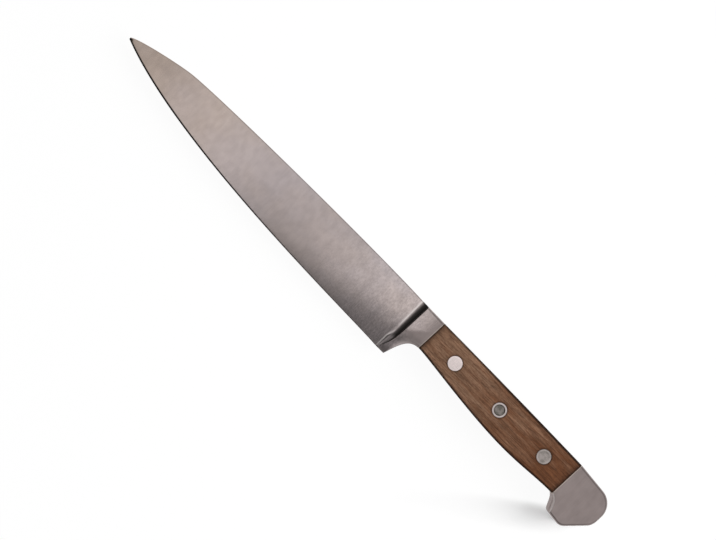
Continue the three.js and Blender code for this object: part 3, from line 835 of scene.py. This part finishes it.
off_lip = distance_to(lip, (np.column_stack([blank_x, blank_y]) - handle_start) @ handle_turn)
off_side = HANDLE_THICK / 2 - abs(blank_z)
near_lip = 1 - eased(off_lip, LIP_ROUND, LIP_ROUND + LIP_FINISH_RUN)
lip_line = eased(off_side, *LIP_GLINT_RISE) * (1 - eased(off_side, *LIP_GLINT_FALL))
lip_glint = LIP_GLINT * near_lip * lip_line
lip_polish_highlight = LIP_POLISH_HIGHLIGHT * near_lip * eased(off_side, 0, LIP_ROUND / 2)
lip_matt = LIP_MATT * near_lip * eased(off_side, 0, LIP_MATT_RUN)

# Coarse grinding lines show along the edge, and a painted dark reflection darkens the bevel at the tip.
EDGE_HATCH = 2.6
HATCH_FROM = -155
HATCH_TO = -115
TIP_SHADE = 0.95
TIP_SHADE_RUN = 1.1
TIP_SHADE_FROM = -176
TIP_SHADE_TO = -95

above_edge = blank_y - height_at(edge, blank_x)
near_edge = (1 - eased(above_edge, 0, EDGE_HATCH)) * (blank_x < plunge_x)
on_bevel = 1 - eased(above_edge, TIP_SHADE_RUN / 2, TIP_SHADE_RUN)
tip_shade = TIP_SHADE * on_bevel * (1 - eased(blank_x, TIP_SHADE_FROM, TIP_SHADE_TO))

# Painted shade and painted dark reflection: the scoop, the plunge, the guard, the choil's rim and the tip's
# bevel.
paint(blank, "skin", np.maximum(scoop_shade, plunge_shade) + guard_shade + tip_shade)
# Painted highlights on the scoop, beside the choil and on the lip.
paint(blank, "glint", np.max([scoop_glint, choil_highlight, lip_glint], axis=0))
# The mop's dulling, partly painted shade, held back on the lip by its painted highlight.
paint(blank, "mop_and_shade", mop_and_shade * (1 - lip_polish_highlight))
paint(blank, "matt", np.maximum(on_guard * matt_share, lip_matt))
paint(blank, "edge", near_edge * eased(blank_x, HATCH_FROM, HATCH_TO))
blank.data.materials.clear()
blank.data.materials.append(satin_steel())
finish_piece(blank, "blade_steel", "forged_blank")

# Walnut scales.
# Two pieces of oiled walnut, glued to the tang and held by the rivets, then ground flush with the steel at
# both ends. The grain runs along the handle, and the rounded edges carry a painted shade.
WOOD_GAP = 0.03
WOOD_EASE = 0.12
GLUE_LINE = 0.02
SWELL_END = 60
WOOD_STEPS = 110
RIVET_HEAD = 7
RIVET_HEAD_DEPTH = 2.2
SIDE_ROWS = 6
RIM_WIDTH = 1.15
RIM_DEPTH = 2.6
RIM_SHADE = 0.98
RIM_FRONT_FADE = 0.6
RIM_REAR_FADE = 0.12
RIM_FADE_FROM = 5
RIM_FADE_TO = 50
BELLY_RIM_FADE = 0.42
END_STAIN = 0.9
END_STAIN_RUN = 3.4
SEAT_STAIN = 0.55
SEAT_STAIN_RUN = 0.9
WALNUT_OLIVE = (0.196, 0.109, 0.067, 1)
WALNUT_RED = (0.112, 0.045, 0.021, 1)
RED_FROM = 18
RED_TO = 78
STAIN_AND_SHADE = (0.012, 0.006, 0.004, 1)
PORE = (0.02, 0.01, 0.006, 1)
FIGURE_RED = 0.3
PATCH_RED = 0.35
STREAK_CONTRAST = 0.34
FIBRE_CONTRAST = 0.36
FLECK_CONTRAST = 0.22
GRAIN_SPREAD = 0.25
PORE_SHARE = (0.58, 0.72)
PORE_CONTRAST = 0.55
PORE_STRENGTH = 0.6
PORE_DEPTH = 0.06
WOOD_ROUGHNESS = (0.62, 0.5)
WOOD_GLOSS = 0.06
LEFT_IN_PLANK = (0.7, 1.9, 0.4)
RIGHT_IN_PLANK = (5.1, 8.3, 2.6)


def handle_half(x):
    """Half the handle's thickness: it swells from the bolster and then runs level to the butt."""
    short = 1 - np.clip(x / SWELL_END, 0, 1)
    return HANDLE_THICK / 2 - (HANDLE_THICK - HANDLE_FRONT_THICK) / 2 * short**2


def scale_ring(x, inset):
    """The left scale's section at a place along the handle, drawn in by an inset."""
    half = handle_half(x) - inset
    inner = TANG_THICK / 2 + GLUE_LINE
    top = height_at(handle_top, x) - inset
    bottom = height_at(handle_bottom, x) + inset
    turns = np.linspace(0, math.pi / 2, ROUND_STEPS)
    dip = EDGE_ROUND * (1 - np.cos(turns))
    rise = half - EDGE_ROUND * (1 - np.sin(turns))
    side = np.linspace(inner, rise[0], SIDE_ROWS)[:-1]
    upright = np.ones(len(side))
    y = np.concatenate([bottom * upright, bottom + dip, (top - dip)[::-1], top * upright])
    z = np.concatenate([side, rise, rise[::-1], side[::-1]])
    return np.column_stack([np.full(len(y), x), y, z])


wood_start = WOOD_GAP
wood_stop = HANDLE_LENGTH - WOOD_GAP
ease_turns = np.linspace(0, math.pi / 2, EASE_STEPS)
ease_along = WOOD_EASE * (1 - np.sin(ease_turns))
ease_inset = WOOD_EASE * (1 - np.cos(ease_turns))
wood_stations = np.concatenate([
    wood_start + ease_along[::-1],
    np.linspace(wood_start + 2 * WOOD_EASE, wood_stop - 2 * WOOD_EASE, WOOD_STEPS),
    wood_stop - ease_along,
])
wood_insets = np.concatenate([ease_inset[::-1], np.zeros(WOOD_STEPS), ease_inset])


def flat_distance(tree, place, spot):
    """How far a place is from an upright line through a spot, both in metres."""
    level = vector_maths(tree, "MULTIPLY", place, (1, 1, 0))
    return vector_maths(tree, "DISTANCE", level, spot, "Value")


def walnut(name, shift):
    """Walnut cut from its own place in the plank, so that no two scales look alike."""
    made, tree, shader = new_material(name)
    place = add_node(tree, "ShaderNodeTexCoord").outputs["Object"]
    figure = noise_at(tree, droop, (20, 170, 170), detail=3, roughness=0.5, shift=shift)
    streaks = noise_at(tree, droop, (30, 620, 620), detail=4, roughness=0.6, shift=shift)
    patches = noise_at(tree, droop, (70, 420, 420), detail=2, shift=shift[::-1])
    fibres = noise_at(tree, droop, (130, 1500, 1500), detail=3, roughness=0.6, shift=shift)
    flecks = noise_at(tree, droop, (800, 1900, 1900), detail=2, shift=shift[::-1])
    pores = noise_at(tree, droop, (150, 2900, 2900), detail=1, shift=shift[::-1])
    to_rear = ranged(tree, along_handle(tree), RED_FROM, RED_TO)
    figure_red = waver(tree, figure, -FIGURE_RED, FIGURE_RED)
    patch_red = waver(tree, patches, -PATCH_RED, PATCH_RED)
    reddening = maths(tree, "ADD", to_rear, maths(tree, "ADD", figure_red, patch_red))
    colour = mixed(tree, ranged(tree, reddening, 0.0, 1.0), WALNUT_OLIVE, WALNUT_RED)
    for grain, contrast in ((streaks, STREAK_CONTRAST), (fibres, FIBRE_CONTRAST), (flecks, FLECK_CONTRAST)):
        colour = varied(tree, colour, grain, 1 - contrast, 1 + contrast, GRAIN_SPREAD)
    colour = mixed(tree, ranged(tree, pores, *PORE_SHARE, 0.0, PORE_CONTRAST), colour, PORE)
    seat_edge = RIVET_HEAD / 2 * MM
    stain_edge = seat_edge + SEAT_STAIN_RUN * MM
    for spot in rivet_places:
        off_seat = flat_distance(tree, place, in_metres(spot) * Vector((1, 1, 0)))
        colour = mixed(tree, ranged(tree, off_seat, seat_edge, stain_edge, SEAT_STAIN, 0.0), colour, STAIN_AND_SHADE)
    # Painted shade along the rounded edges, and a dark stain line at the ends.
    colour = mixed(tree, painted(tree, "stain_and_shade"), colour, STAIN_AND_SHADE)
    tree.links.new(colour, shader.inputs["Base Color"])
    tree.links.new(waver(tree, streaks, *WOOD_ROUGHNESS), shader.inputs["Roughness"])
    shader.inputs["Specular IOR Level"].default_value = WOOD_GLOSS
    relief = mixed(tree, ranged(tree, pores, *PORE_SHARE), fibres, (0, 0, 0, 1))
    bump = add_node(tree, "ShaderNodeBump", {
        "Height": relief, "Strength": PORE_STRENGTH, "Distance": PORE_DEPTH * MM,
    })
    tree.links.new(bump.outputs["Normal"], shader.inputs["Normal"])
    return made


left_rings = [scale_ring(x, inset) for x, inset in zip(wood_stations, wood_insets)]
for name, sign, shift in (("left", 1, LEFT_IN_PLANK), ("right", -1, RIGHT_IN_PLANK)):
    wood = skin(f"{name}_walnut_scale", [from_handle(ring * [1, 1, sign]) for ring in left_rings])
    for place in rivet_places:
        seat = handle_half(place[0]) - RIVET_HEAD_DEPTH
        heights = sorted((sign * seat, sign * HANDLE_THICK))
        carve(wood, round_tool(place, RIVET_HEAD / 2 + RIVET_FIT, *heights), "DIFFERENCE")
        carve(wood, round_tool(place, tube_radius + RIVET_FIT, -HANDLE_THICK, HANDLE_THICK), "DIFFERENCE")
    corners = vertices_of(wood)
    in_handle = (corners[:, :2] - handle_start) @ handle_turn
    to_top = height_at(handle_top, in_handle[:, 0]) - in_handle[:, 1]
    to_bottom = in_handle[:, 1] - height_at(handle_bottom, in_handle[:, 0])
    to_end = np.minimum(in_handle[:, 0] - wood_start, wood_stop - in_handle[:, 0])
    below_face = handle_half(in_handle[:, 0]) - abs(corners[:, 2])
    back_fade = lerp(RIM_FRONT_FADE, RIM_REAR_FADE, eased(in_handle[:, 0], RIM_FADE_FROM, RIM_FADE_TO))
    back_rim = np.clip(1 - to_top / RIM_WIDTH, 0, 1) ** back_fade
    belly_rim = np.clip(1 - to_bottom / RIM_WIDTH, 0, 1) ** BELLY_RIM_FADE
    rim = np.maximum(back_rim, belly_rim) * (1 - eased(below_face, EDGE_ROUND, RIM_DEPTH))
    end = np.clip(1 - to_end / END_STAIN_RUN, 0, 1) ** 2
    # The rim value is painted shade on the rounded edges; the end value is a dark line at the joints.
    paint(wood, "stain_and_shade", np.maximum(RIM_SHADE * rim, END_STAIN * end))
    wood.data.materials.clear()
    wood.data.materials.append(walnut(f"{name}_walnut", shift))
    finish_piece(wood, "walnut", f"{name}_scale")

# Cutler's rivets.
# Three two-part rivets in nickel steel clamp the scales: a pin from the left is driven into a tube from the
# right, and the heads are ground flush with the wood. The middle pin's head has a shallow dish.
RIVET_EASE = 0.12
RIVET_GRIP = 4.6
DISH_WIDTH = 5.2
DISH_DEPTH = 0.3
DISH_SLOPE = 0.45
HEAD_SIDES = 72
HEAD_RINGS = 30
PIN_SIDES = 36
PIN_IN_HEAD = 0.75
RIVET_STEEL = (0.92, 0.8, 0.78, 1)
RIVET_GREY = (0.86, 0.75, 0.73, 1)
DULL_STEEL = (0.155, 0.143, 0.125, 1)
BRIGHT_WEAR = (0.05, 0.0)
DISH_WEAR = (1.0, 0.45)
DULL_WEAR_AND_SHADE = (0.82, 0.7)
RING_WIDTH = 0.9
DULL_SHARE = (0.85, 1.05)
DULL_SPREAD = 0.15
RIVET_LINES = (0.95, 1.04)
RIVET_ROUGHNESS = (0.14, 0.2)


def rivet_tree():
    """Nodes that turn a rivet from its sizes and set one on each point, flush with the slope there."""
    tree = bpy.data.node_groups.new("cutlers_rivet", "GeometryNodeTree")
    tree.interface.new_socket("Geometry", in_out="INPUT", socket_type="NodeSocketGeometry")
    sizes = ("Head radius", "Head depth", "Head ease", "Pin radius", "Pin length", "Bore radius",
             "Dish radius", "Dish depth", "Dish slope", "Turn")
    for size in sizes:
        tree.interface.new_socket(size, in_out="INPUT", socket_type="NodeSocketFloat")
    tree.interface.new_socket("Finish", in_out="INPUT", socket_type="NodeSocketMaterial")
    tree.interface.new_socket("Geometry", in_out="OUTPUT", socket_type="NodeSocketGeometry")
    given = add_node(tree, "NodeGroupInput").outputs

    def vector(x=0.0, y=0.0, z=0.0):
        return add_node(tree, "ShaderNodeCombineXYZ", {0: x, 1: y, 2: z}).outputs[0]

    def cylinder(sides, rings, radius, depth, top):
        """An upright cylinder with its top at a height."""
        bar = add_node(tree, "GeometryNodeMeshCylinder", {
            "Vertices": sides, "Fill Segments": rings, "Radius": radius, "Depth": depth,
        })
        middle = maths(tree, "SUBTRACT", top, maths(tree, "MULTIPLY", depth, 0.5))
        return add_node(tree, "GeometryNodeTransform", {
            "Geometry": bar.outputs["Mesh"], "Translation": vector(z=middle),
        }).outputs["Geometry"]

    place = add_node(tree, "GeometryNodeInputPosition").outputs[0]
    split = add_node(tree, "ShaderNodeSeparateXYZ", {0: place}).outputs
    flat_place = vector(split[0], split[1])
    radius = vector_maths(tree, "LENGTH", flat_place, result="Value")
    on_top = maths(tree, "GREATER_THAN", split[2], maths(tree, "MULTIPLY", given["Head depth"], -0.5))

    ease_from = maths(tree, "SUBTRACT", given["Head radius"], given["Head ease"])
    on_ease = ranged(tree, radius, ease_from, given["Head radius"])
    level = maths(tree, "SQRT", maths(tree, "SUBTRACT", 1.0, maths(tree, "MULTIPLY", on_ease, on_ease)))
    rim_drop = maths(tree, "MULTIPLY", given["Head ease"], maths(tree, "SUBTRACT", 1.0, level))
    dish_from = maths(tree, "SUBTRACT", given["Dish radius"], given["Dish slope"])
    dish_drop = ranged(tree, radius, dish_from, given["Dish radius"], given["Dish depth"], 0.0)
    drop = maths(tree, "MULTIPLY", maths(tree, "ADD", rim_drop, dish_drop), -1.0)
    head = add_node(tree, "GeometryNodeSetPosition", {
        "Geometry": cylinder(HEAD_SIDES, HEAD_RINGS, given["Head radius"], given["Head depth"], 0.0),
        "Selection": on_top,
        "Offset": vector(z=drop),
    }).outputs["Geometry"]

    pin_top = maths(tree, "MULTIPLY", given["Head depth"], -PIN_IN_HEAD)
    pin = cylinder(PIN_SIDES, 1, given["Pin radius"], given["Pin length"], pin_top)
    joined = add_node(tree, "GeometryNodeMeshBoolean", operation="UNION")
    tree.links.new(head, joined.inputs["Mesh 2"])
    tree.links.new(pin, joined.inputs["Mesh 2"])
    bore_top = maths(tree, "MULTIPLY", given["Head depth"], -1.0)
    bored = add_node(tree, "GeometryNodeMeshBoolean", {
        "Mesh 1": joined.outputs["Mesh"],
        "Mesh 2": cylinder(PIN_SIDES, 1, given["Bore radius"], given["Pin length"], bore_top),
    }, operation="DIFFERENCE")
    rivet = add_node(tree, "GeometryNodeSwitch", {
        "Switch": maths(tree, "GREATER_THAN", given["Bore radius"], 0.0),
        "False": joined.outputs["Mesh"],
        "True": bored.outputs["Mesh"],
    }, input_type="GEOMETRY").outputs[0]

    marked = add_node(tree, "GeometryNodeStoreNamedAttribute", {
        "Geometry": given["Geometry"], "Name": "seat", "Value": place,
    }, data_type="FLOAT_VECTOR").outputs[0]
    turn = add_node(tree, "FunctionNodeEulerToRotation", {0: vector(x=given["Turn"])}).outputs[0]
    placed = add_node(tree, "GeometryNodeInstanceOnPoints", {
        "Points": marked, "Instance": rivet, "Rotation": turn,
    }).outputs[0]
    real = add_node(tree, "GeometryNodeRealizeInstances", {"Geometry": placed}).outputs[0]
    seat = add_node(tree, "GeometryNodeInputNamedAttribute", {"Name": "seat"}, data_type="FLOAT_VECTOR")
    slope = add_node(tree, "GeometryNodeInputNamedAttribute", {"Name": "slope"}, data_type="FLOAT")
    past_seat = vector_maths(tree, "SUBTRACT", place, seat.outputs[0])
    along = add_node(tree, "ShaderNodeSeparateXYZ", {0: past_seat}).outputs[0]
    ground = add_node(tree, "GeometryNodeSetPosition", {
        "Geometry": real, "Offset": vector(z=maths(tree, "MULTIPLY", along, slope.outputs[0])),
    }).outputs[0]
    finished = add_node(tree, "GeometryNodeSetMaterial", {"Geometry": ground, "Material": given["Finish"]})
    add_node(tree, "NodeGroupOutput", {"Geometry": finished.outputs[0]})
    return tree


def rivet_metal():
    """Nickel steel, ground along the handle. Where the middle of a head has dulled, its rim is brighter."""
    made, tree, shader = new_material("ground_rivet_steel")
    lines = noise_at(tree, droop, (120, 2600, 2600), detail=2)
    clouds = noise_at(tree, 0, (500, 500, 500), detail=3)
    colour = mixed(tree, waver(tree, clouds, 0.0, 1.0, DULL_SPREAD), RIVET_STEEL, RIVET_GREY)
    patchy = waver(tree, clouds, *DULL_SHARE, DULL_SPREAD)
    colour = mixed(tree, maths(tree, "MULTIPLY", painted(tree, "dull"), patchy), colour, DULL_STEEL)
    tree.links.new(varied(tree, colour, lines, *RIVET_LINES), shader.inputs["Base Color"])
    tree.links.new(waver(tree, lines, *RIVET_ROUGHNESS), shader.inputs["Roughness"])
    shader.inputs["Metallic"].default_value = 1.0
    return made


def handle_slope(x):
    """How fast the handle's face rises towards the rear."""
    short = 1 - np.clip(x / SWELL_END, 0, 1)
    return (HANDLE_THICK - HANDLE_FRONT_THICK) / SWELL_END * short


def set_rivets(name, indexes, side, sizes, wear):
    """Rivets of one kind, driven in from one side, 1 for the left and -1 for the right.

    Each has its wear: how dull the middle of its head is, and its rim.
    """
    places = [rivet_places[index] for index in indexes]
    points = bpy.data.meshes.new(name)
    points.from_pydata([from_handle([*place, side * handle_half(place[0])]) for place in places], [], [])
    made = new_object(name, points)
    paint(made, "slope", [side * handle_slope(place[0]) for place in places])
    modifier = made.modifiers.new("rivets", "NODES")
    modifier.node_group = rivet_nodes
    given = {**sizes, "Turn": 0.0 if side > 0 else math.pi, "Finish": rivet_finish}
    for socket in rivet_nodes.interface.items_tree:
        if socket.in_out == "INPUT" and socket.name in given:
            modifier[socket.identifier] = given[socket.name]
    settle(made)
    spots = vertices_of(made)[:, :2]
    off_centres = np.stack([np.linalg.norm(spots - from_handle(place), axis=1) for place in places])
    middle_dull, rim_dull = np.array(wear)[off_centres.argmin(0)].T
    inside_rim = eased(RIVET_HEAD / 2 - RING_WIDTH - off_centres.min(0), -RIVET_EASE, 0)
    paint(made, "dull", lerp(rim_dull, middle_dull, inside_rim))
    return made


rivet_nodes = rivet_tree()
rivet_finish = rivet_metal()
pin_sizes = {
    "Head radius": RIVET_HEAD / 2, "Head depth": RIVET_HEAD_DEPTH - RIVET_FIT, "Head ease": RIVET_EASE,
    "Pin radius": RIVET_PIN / 2, "Pin length": 2 * RIVET_GRIP, "Bore radius": 0.0,
    "Dish radius": 0.0, "Dish depth": 0.0, "Dish slope": DISH_SLOPE,
}
dish_sizes = {**pin_sizes, "Dish radius": DISH_WIDTH / 2, "Dish depth": DISH_DEPTH}
tube_sizes = {**pin_sizes, "Pin radius": tube_radius, "Bore radius": RIVET_PIN / 2 + RIVET_FIT}
# The rear pin's dulled head is painted shade; the front tube takes the same values.
pins = set_rivets("rivet_pins", (0, 2), 1, pin_sizes, (BRIGHT_WEAR, DULL_WEAR_AND_SHADE))
finish_piece(pins, "rivet_steel", "front_rivet_pin", "rear_rivet_pin")
dished_pin = set_rivets("dished_rivet_pin", (1,), 1, dish_sizes, (DISH_WEAR,))
finish_piece(dished_pin, "rivet_steel", "middle_rivet_pin")
tubes = set_rivets("rivet_tubes", (0, 1, 2), -1, tube_sizes, (DULL_WEAR_AND_SHADE, BRIGHT_WEAR, BRIGHT_WEAR))
finish_piece(tubes, "rivet_steel", "front_rivet_tube", "middle_rivet_tube", "rear_rivet_tube")

# Floor and light.
# A light table, dimmer beside the butt, under a large soft lamp. The steel mirrors pale walls and a card
# close above it, flagged dark in its near part. The card's parts and the dim patch are placed from the
# camera's axis, and the camera looks straight down, with the knife across its picture.
FLOOR_SIZE = 12000
FLOOR_DROP = 0.2
FLOOR_ALBEDO = 0.062
FLOOR_GLOW = 0.945
DIM_ALBEDO = 0.6
DIM_GLOW = 0.39
DIM_TURN = 36
DIM_AT = (88, -100)
DIM_LENGTH = 72
DIM_WIDTH = 8
AMBIENT = 0.3
DOME_RADIUS = 3000
DOME_TOP = 0.4
DOME_WALL = 0.7
DOME_TOP_AT = 2400
DOME_SIDES = 64
DOME_RINGS = 32
CARD_HEIGHT = 150
CARD_LEFT = -200
CARD_RIGHT = 330
CARD_NEAR = -300
CARD_FAR = 38
CARD_LEVEL = 0.86
CARD_DIM = 0.6
CARD_DIM_AT = -162
CARD_FULL_AT = -106
FLAG_ANGLE = 104
FLAG_FROM = -8
FLAG_TO = -32
FLAG_DARKEST = 0.02
FLAG_DARK = 0.17
FLAG_CLEAR = 0.82
FLAG_DARKEST_TO = -100
FLAG_DARK_FROM = -20
FLAG_DARK_TO = 32
FLAG_CLEAR_FROM = 95
CLEAR_FAR = -55
CLEAR_NEAR = -105
KICKER_AT = (46, -78)
KICKER_CORE = 12
KICKER_REACH = 56
KICKER_LEVEL = 0.66
# Soft ovals on the card: the middle, half the length, half the width, and the level there.
DIP = ((-40, 0), 46, 900, 0.89)
BLADE_SHADE = ((-48, -26), 45, 24, 0.85)
HEEL_SHINE = ((27, 2), 26, 22, 1.14)
TIP_SHINE = ((-146, -20), 32, 20, 1.12)
KEY_AT = (1030, 750, 850)
KEY_SIZE = 1500
KEY_POWER = 35.5
PHOTO_WIDTH = 716
PIXEL = 0.458
CAMERA_HEIGHT = 1200
CAMERA_AT = (-31.1, -11.0)
CAMERA_TURN = 45


def seen_directly(tree):
    """1 for rays that show the background: from the camera, in gloss and through glass."""
    path = add_node(tree, "ShaderNodeLightPath").outputs
    camera_or_gloss = maths(tree, "MAXIMUM", path["Is Camera Ray"], path["Is Glossy Ray"])
    return maths(tree, "MAXIMUM", camera_or_gloss, path["Is Transmission Ray"])


def from_camera_axis(x, y, z=0):
    """A place in metres from millimetres off the camera's axis and above the knife's middle."""
    return knife_place @ Vector((CAMERA_AT[0] + x, CAMERA_AT[1] + y, z))


def off_axis(tree):
    """Where a place lies from the camera's axis, in metres."""
    place = add_node(tree, "ShaderNodeTexCoord").outputs["Object"]
    return vector_maths(tree, "SUBTRACT", place, from_camera_axis(0, 0))


def towards(tree, angle):
    """How far a place lies from the camera's axis in a direction, in millimetres."""
    turn = math.radians(angle)
    direction = (math.cos(turn) / MM, math.sin(turn) / MM, 0)
    return vector_maths(tree, "DOT_PRODUCT", off_axis(tree), direction, "Value")


def patch(tree, turn, centre, length, width):
    """1 in the middle of a soft oval, and 0 outside it."""
    squares = []
    for angle, middle, half in ((turn, centre[0], length), (turn + 90, centre[1], width)):
        off_middle = ranged(tree, towards(tree, angle), middle - half, middle + half, -1.0)
        squares.append(maths(tree, "POWER", off_middle, 2.0))
    return ranged(tree, maths(tree, "ADD", *squares), 0.0, 1.0, 1.0, 0.0, "SMOOTHSTEP")


def stage_material(name):
    """A material without a shader, and its tree."""
    made = bpy.data.materials.new(name)
    made.use_nodes = True
    made.node_tree.nodes.clear()
    return made, made.node_tree


def white_table():
    """A light table. A patch beside the butt glows less and returns more of the lamp to show a shadow."""
    made, tree = stage_material("white_table")
    dim = patch(tree, DIM_TURN, DIM_AT, DIM_LENGTH, DIM_WIDTH)
    albedo = ranged(tree, dim, 0.0, 1.0, FLOOR_ALBEDO, DIM_ALBEDO)
    level = ranged(tree, dim, 0.0, 1.0, FLOOR_GLOW, DIM_GLOW)
    strength = maths(tree, "MULTIPLY", level, seen_directly(tree))
    matt = add_node(tree, "ShaderNodeBsdfDiffuse", {"Color": albedo})
    glow = add_node(tree, "ShaderNodeEmission", {"Strength": strength})
    both = add_node(tree, "ShaderNodeAddShader", {0: matt.outputs[0], 1: glow.outputs[0]})
    add_node(tree, "ShaderNodeOutputMaterial", {"Surface": both.outputs[0]})
    return made


def sheet(name, low, high):
    """A level mesh between two opposite corners."""
    mesh = bpy.data.meshes.new(name)
    corners = [low, (high[0], low[1], low[2]), high, (low[0], high[1], low[2])]
    mesh.from_pydata(corners, [], [(0, 1, 2, 3)])
    return mesh


half_floor = FLOOR_SIZE / 2 * MM
floor_level = -FLOOR_DROP * MM
floor_mesh = sheet("table", (-half_floor, -half_floor, floor_level), (half_floor, half_floor, floor_level))
floor_mesh.materials.append(white_table())
floor = new_object("table", floor_mesh)


def glowing(name):
    """A material that only glows, its tree and the strength that it glows with."""
    made, tree = stage_material(name)
    glow = add_node(tree, "ShaderNodeEmission")
    add_node(tree, "ShaderNodeOutputMaterial", {"Surface": glow.outputs[0]})
    return made, tree, glow.inputs["Strength"]


def studio_walls():
    made, tree, strength = glowing("studio_walls")
    place = add_node(tree, "ShaderNodeTexCoord").outputs["Object"]
    height = add_node(tree, "ShaderNodeSeparateXYZ", {0: place}).outputs[2]
    tree.links.new(ranged(tree, height, 0.0, DOME_TOP_AT * MM, DOME_WALL, DOME_TOP), strength)
    return made


def flagged_card():
    """A bright card, dimmer at its left end. A soft flag with a light in it darkens its near left part."""
    made, tree, strength = glowing("flagged_card")
    along = towards(tree, 0)
    bright = ranged(tree, along, CARD_DIM_AT, CARD_FULL_AT, CARD_DIM, CARD_LEVEL, "SMOOTHSTEP")
    flag = ranged(tree, along, FLAG_DARKEST_TO, FLAG_DARK_FROM, FLAG_DARKEST, FLAG_DARK)
    clear_along = ranged(tree, along, FLAG_DARK_TO, FLAG_CLEAR_FROM, 0.0, FLAG_CLEAR)
    clear_across = ranged(tree, towards(tree, 90), CLEAR_NEAR, CLEAR_FAR)
    clear = maths(tree, "MULTIPLY", clear_along, clear_across)
    off_kicker = flat_distance(tree, off_axis(tree), Vector((*KICKER_AT, 0)) * MM)
    kicker = ranged(tree, off_kicker, KICKER_CORE * MM, KICKER_REACH * MM, KICKER_LEVEL, 0.0)
    under = maths(tree, "MAXIMUM", maths(tree, "MAXIMUM", flag, clear), kicker)
    card = ranged(tree, towards(tree, FLAG_ANGLE), FLAG_TO, FLAG_FROM, under, bright, "SMOOTHSTEP")
    for centre, length, width, level in (DIP, BLADE_SHADE, HEEL_SHINE, TIP_SHINE):
        oval = patch(tree, 0, centre, length, width)
        card = maths(tree, "MULTIPLY", card, ranged(tree, oval, 0.0, 1.0, 1.0, level))
    tree.links.new(card, strength)
    return made


def mirrored_only(name, mesh, finish):
    """Part of the studio that shows in reflections alone."""
    mesh.materials.append(finish)
    made = new_object(name, mesh)
    for ray in ("camera", "diffuse", "transmission", "volume_scatter", "shadow"):
        setattr(made, f"visible_{ray}", False)


dome_mesh = bpy.data.meshes.new("studio_walls")
work = bmesh.new()
bmesh.ops.create_uvsphere(work, u_segments=DOME_SIDES, v_segments=DOME_RINGS, radius=DOME_RADIUS * MM)
under_floor = [corner for corner in work.verts if corner.co.z < floor_level]
bmesh.ops.delete(work, geom=under_floor, context="VERTS")
work.to_mesh(dome_mesh)
work.free()
mirrored_only("studio_walls", dome_mesh, studio_walls())

card_low = from_camera_axis(CARD_LEFT, CARD_NEAR, CARD_HEIGHT)
card_high = from_camera_axis(CARD_RIGHT, CARD_FAR, CARD_HEIGHT)
card_mesh = sheet("flagged_card", card_low, card_high)
mirrored_only("flagged_card", card_mesh, flagged_card())

world = bpy.data.worlds.new("studio")
world.use_nodes = True
bpy.context.scene.world = world
sky = world.node_tree.nodes["Background"]
sky_level = ranged(world.node_tree, seen_directly(world.node_tree), 0.0, 1.0, AMBIENT, 1.0)
world.node_tree.links.new(sky_level, sky.inputs["Strength"])
sky.inputs["Color"].default_value = (1, 1, 1, 1)

lamp = bpy.data.lights.new("key_lamp", "AREA")
lamp.shape = "DISK"
lamp.size = KEY_SIZE * MM
lamp.energy = KEY_POWER
key = new_object("key_lamp", lamp)
key.location = Vector(KEY_AT) * MM
key.rotation_euler = Vector(KEY_AT).to_track_quat("Z", "Y").to_euler()
key.visible_camera = False
key.visible_glossy = False

lens = bpy.data.cameras.new("camera")
lens.lens = lens.sensor_width * CAMERA_HEIGHT / (PHOTO_WIDTH * PIXEL)
camera = new_object("camera", lens)
camera.location = from_camera_axis(0, 0, CAMERA_HEIGHT)
camera.rotation_euler = (0, 0, math.radians(CAMERA_TURN))
bpy.context.scene.camera = camera
bpy.context.scene.view_settings.view_transform = "Standard"
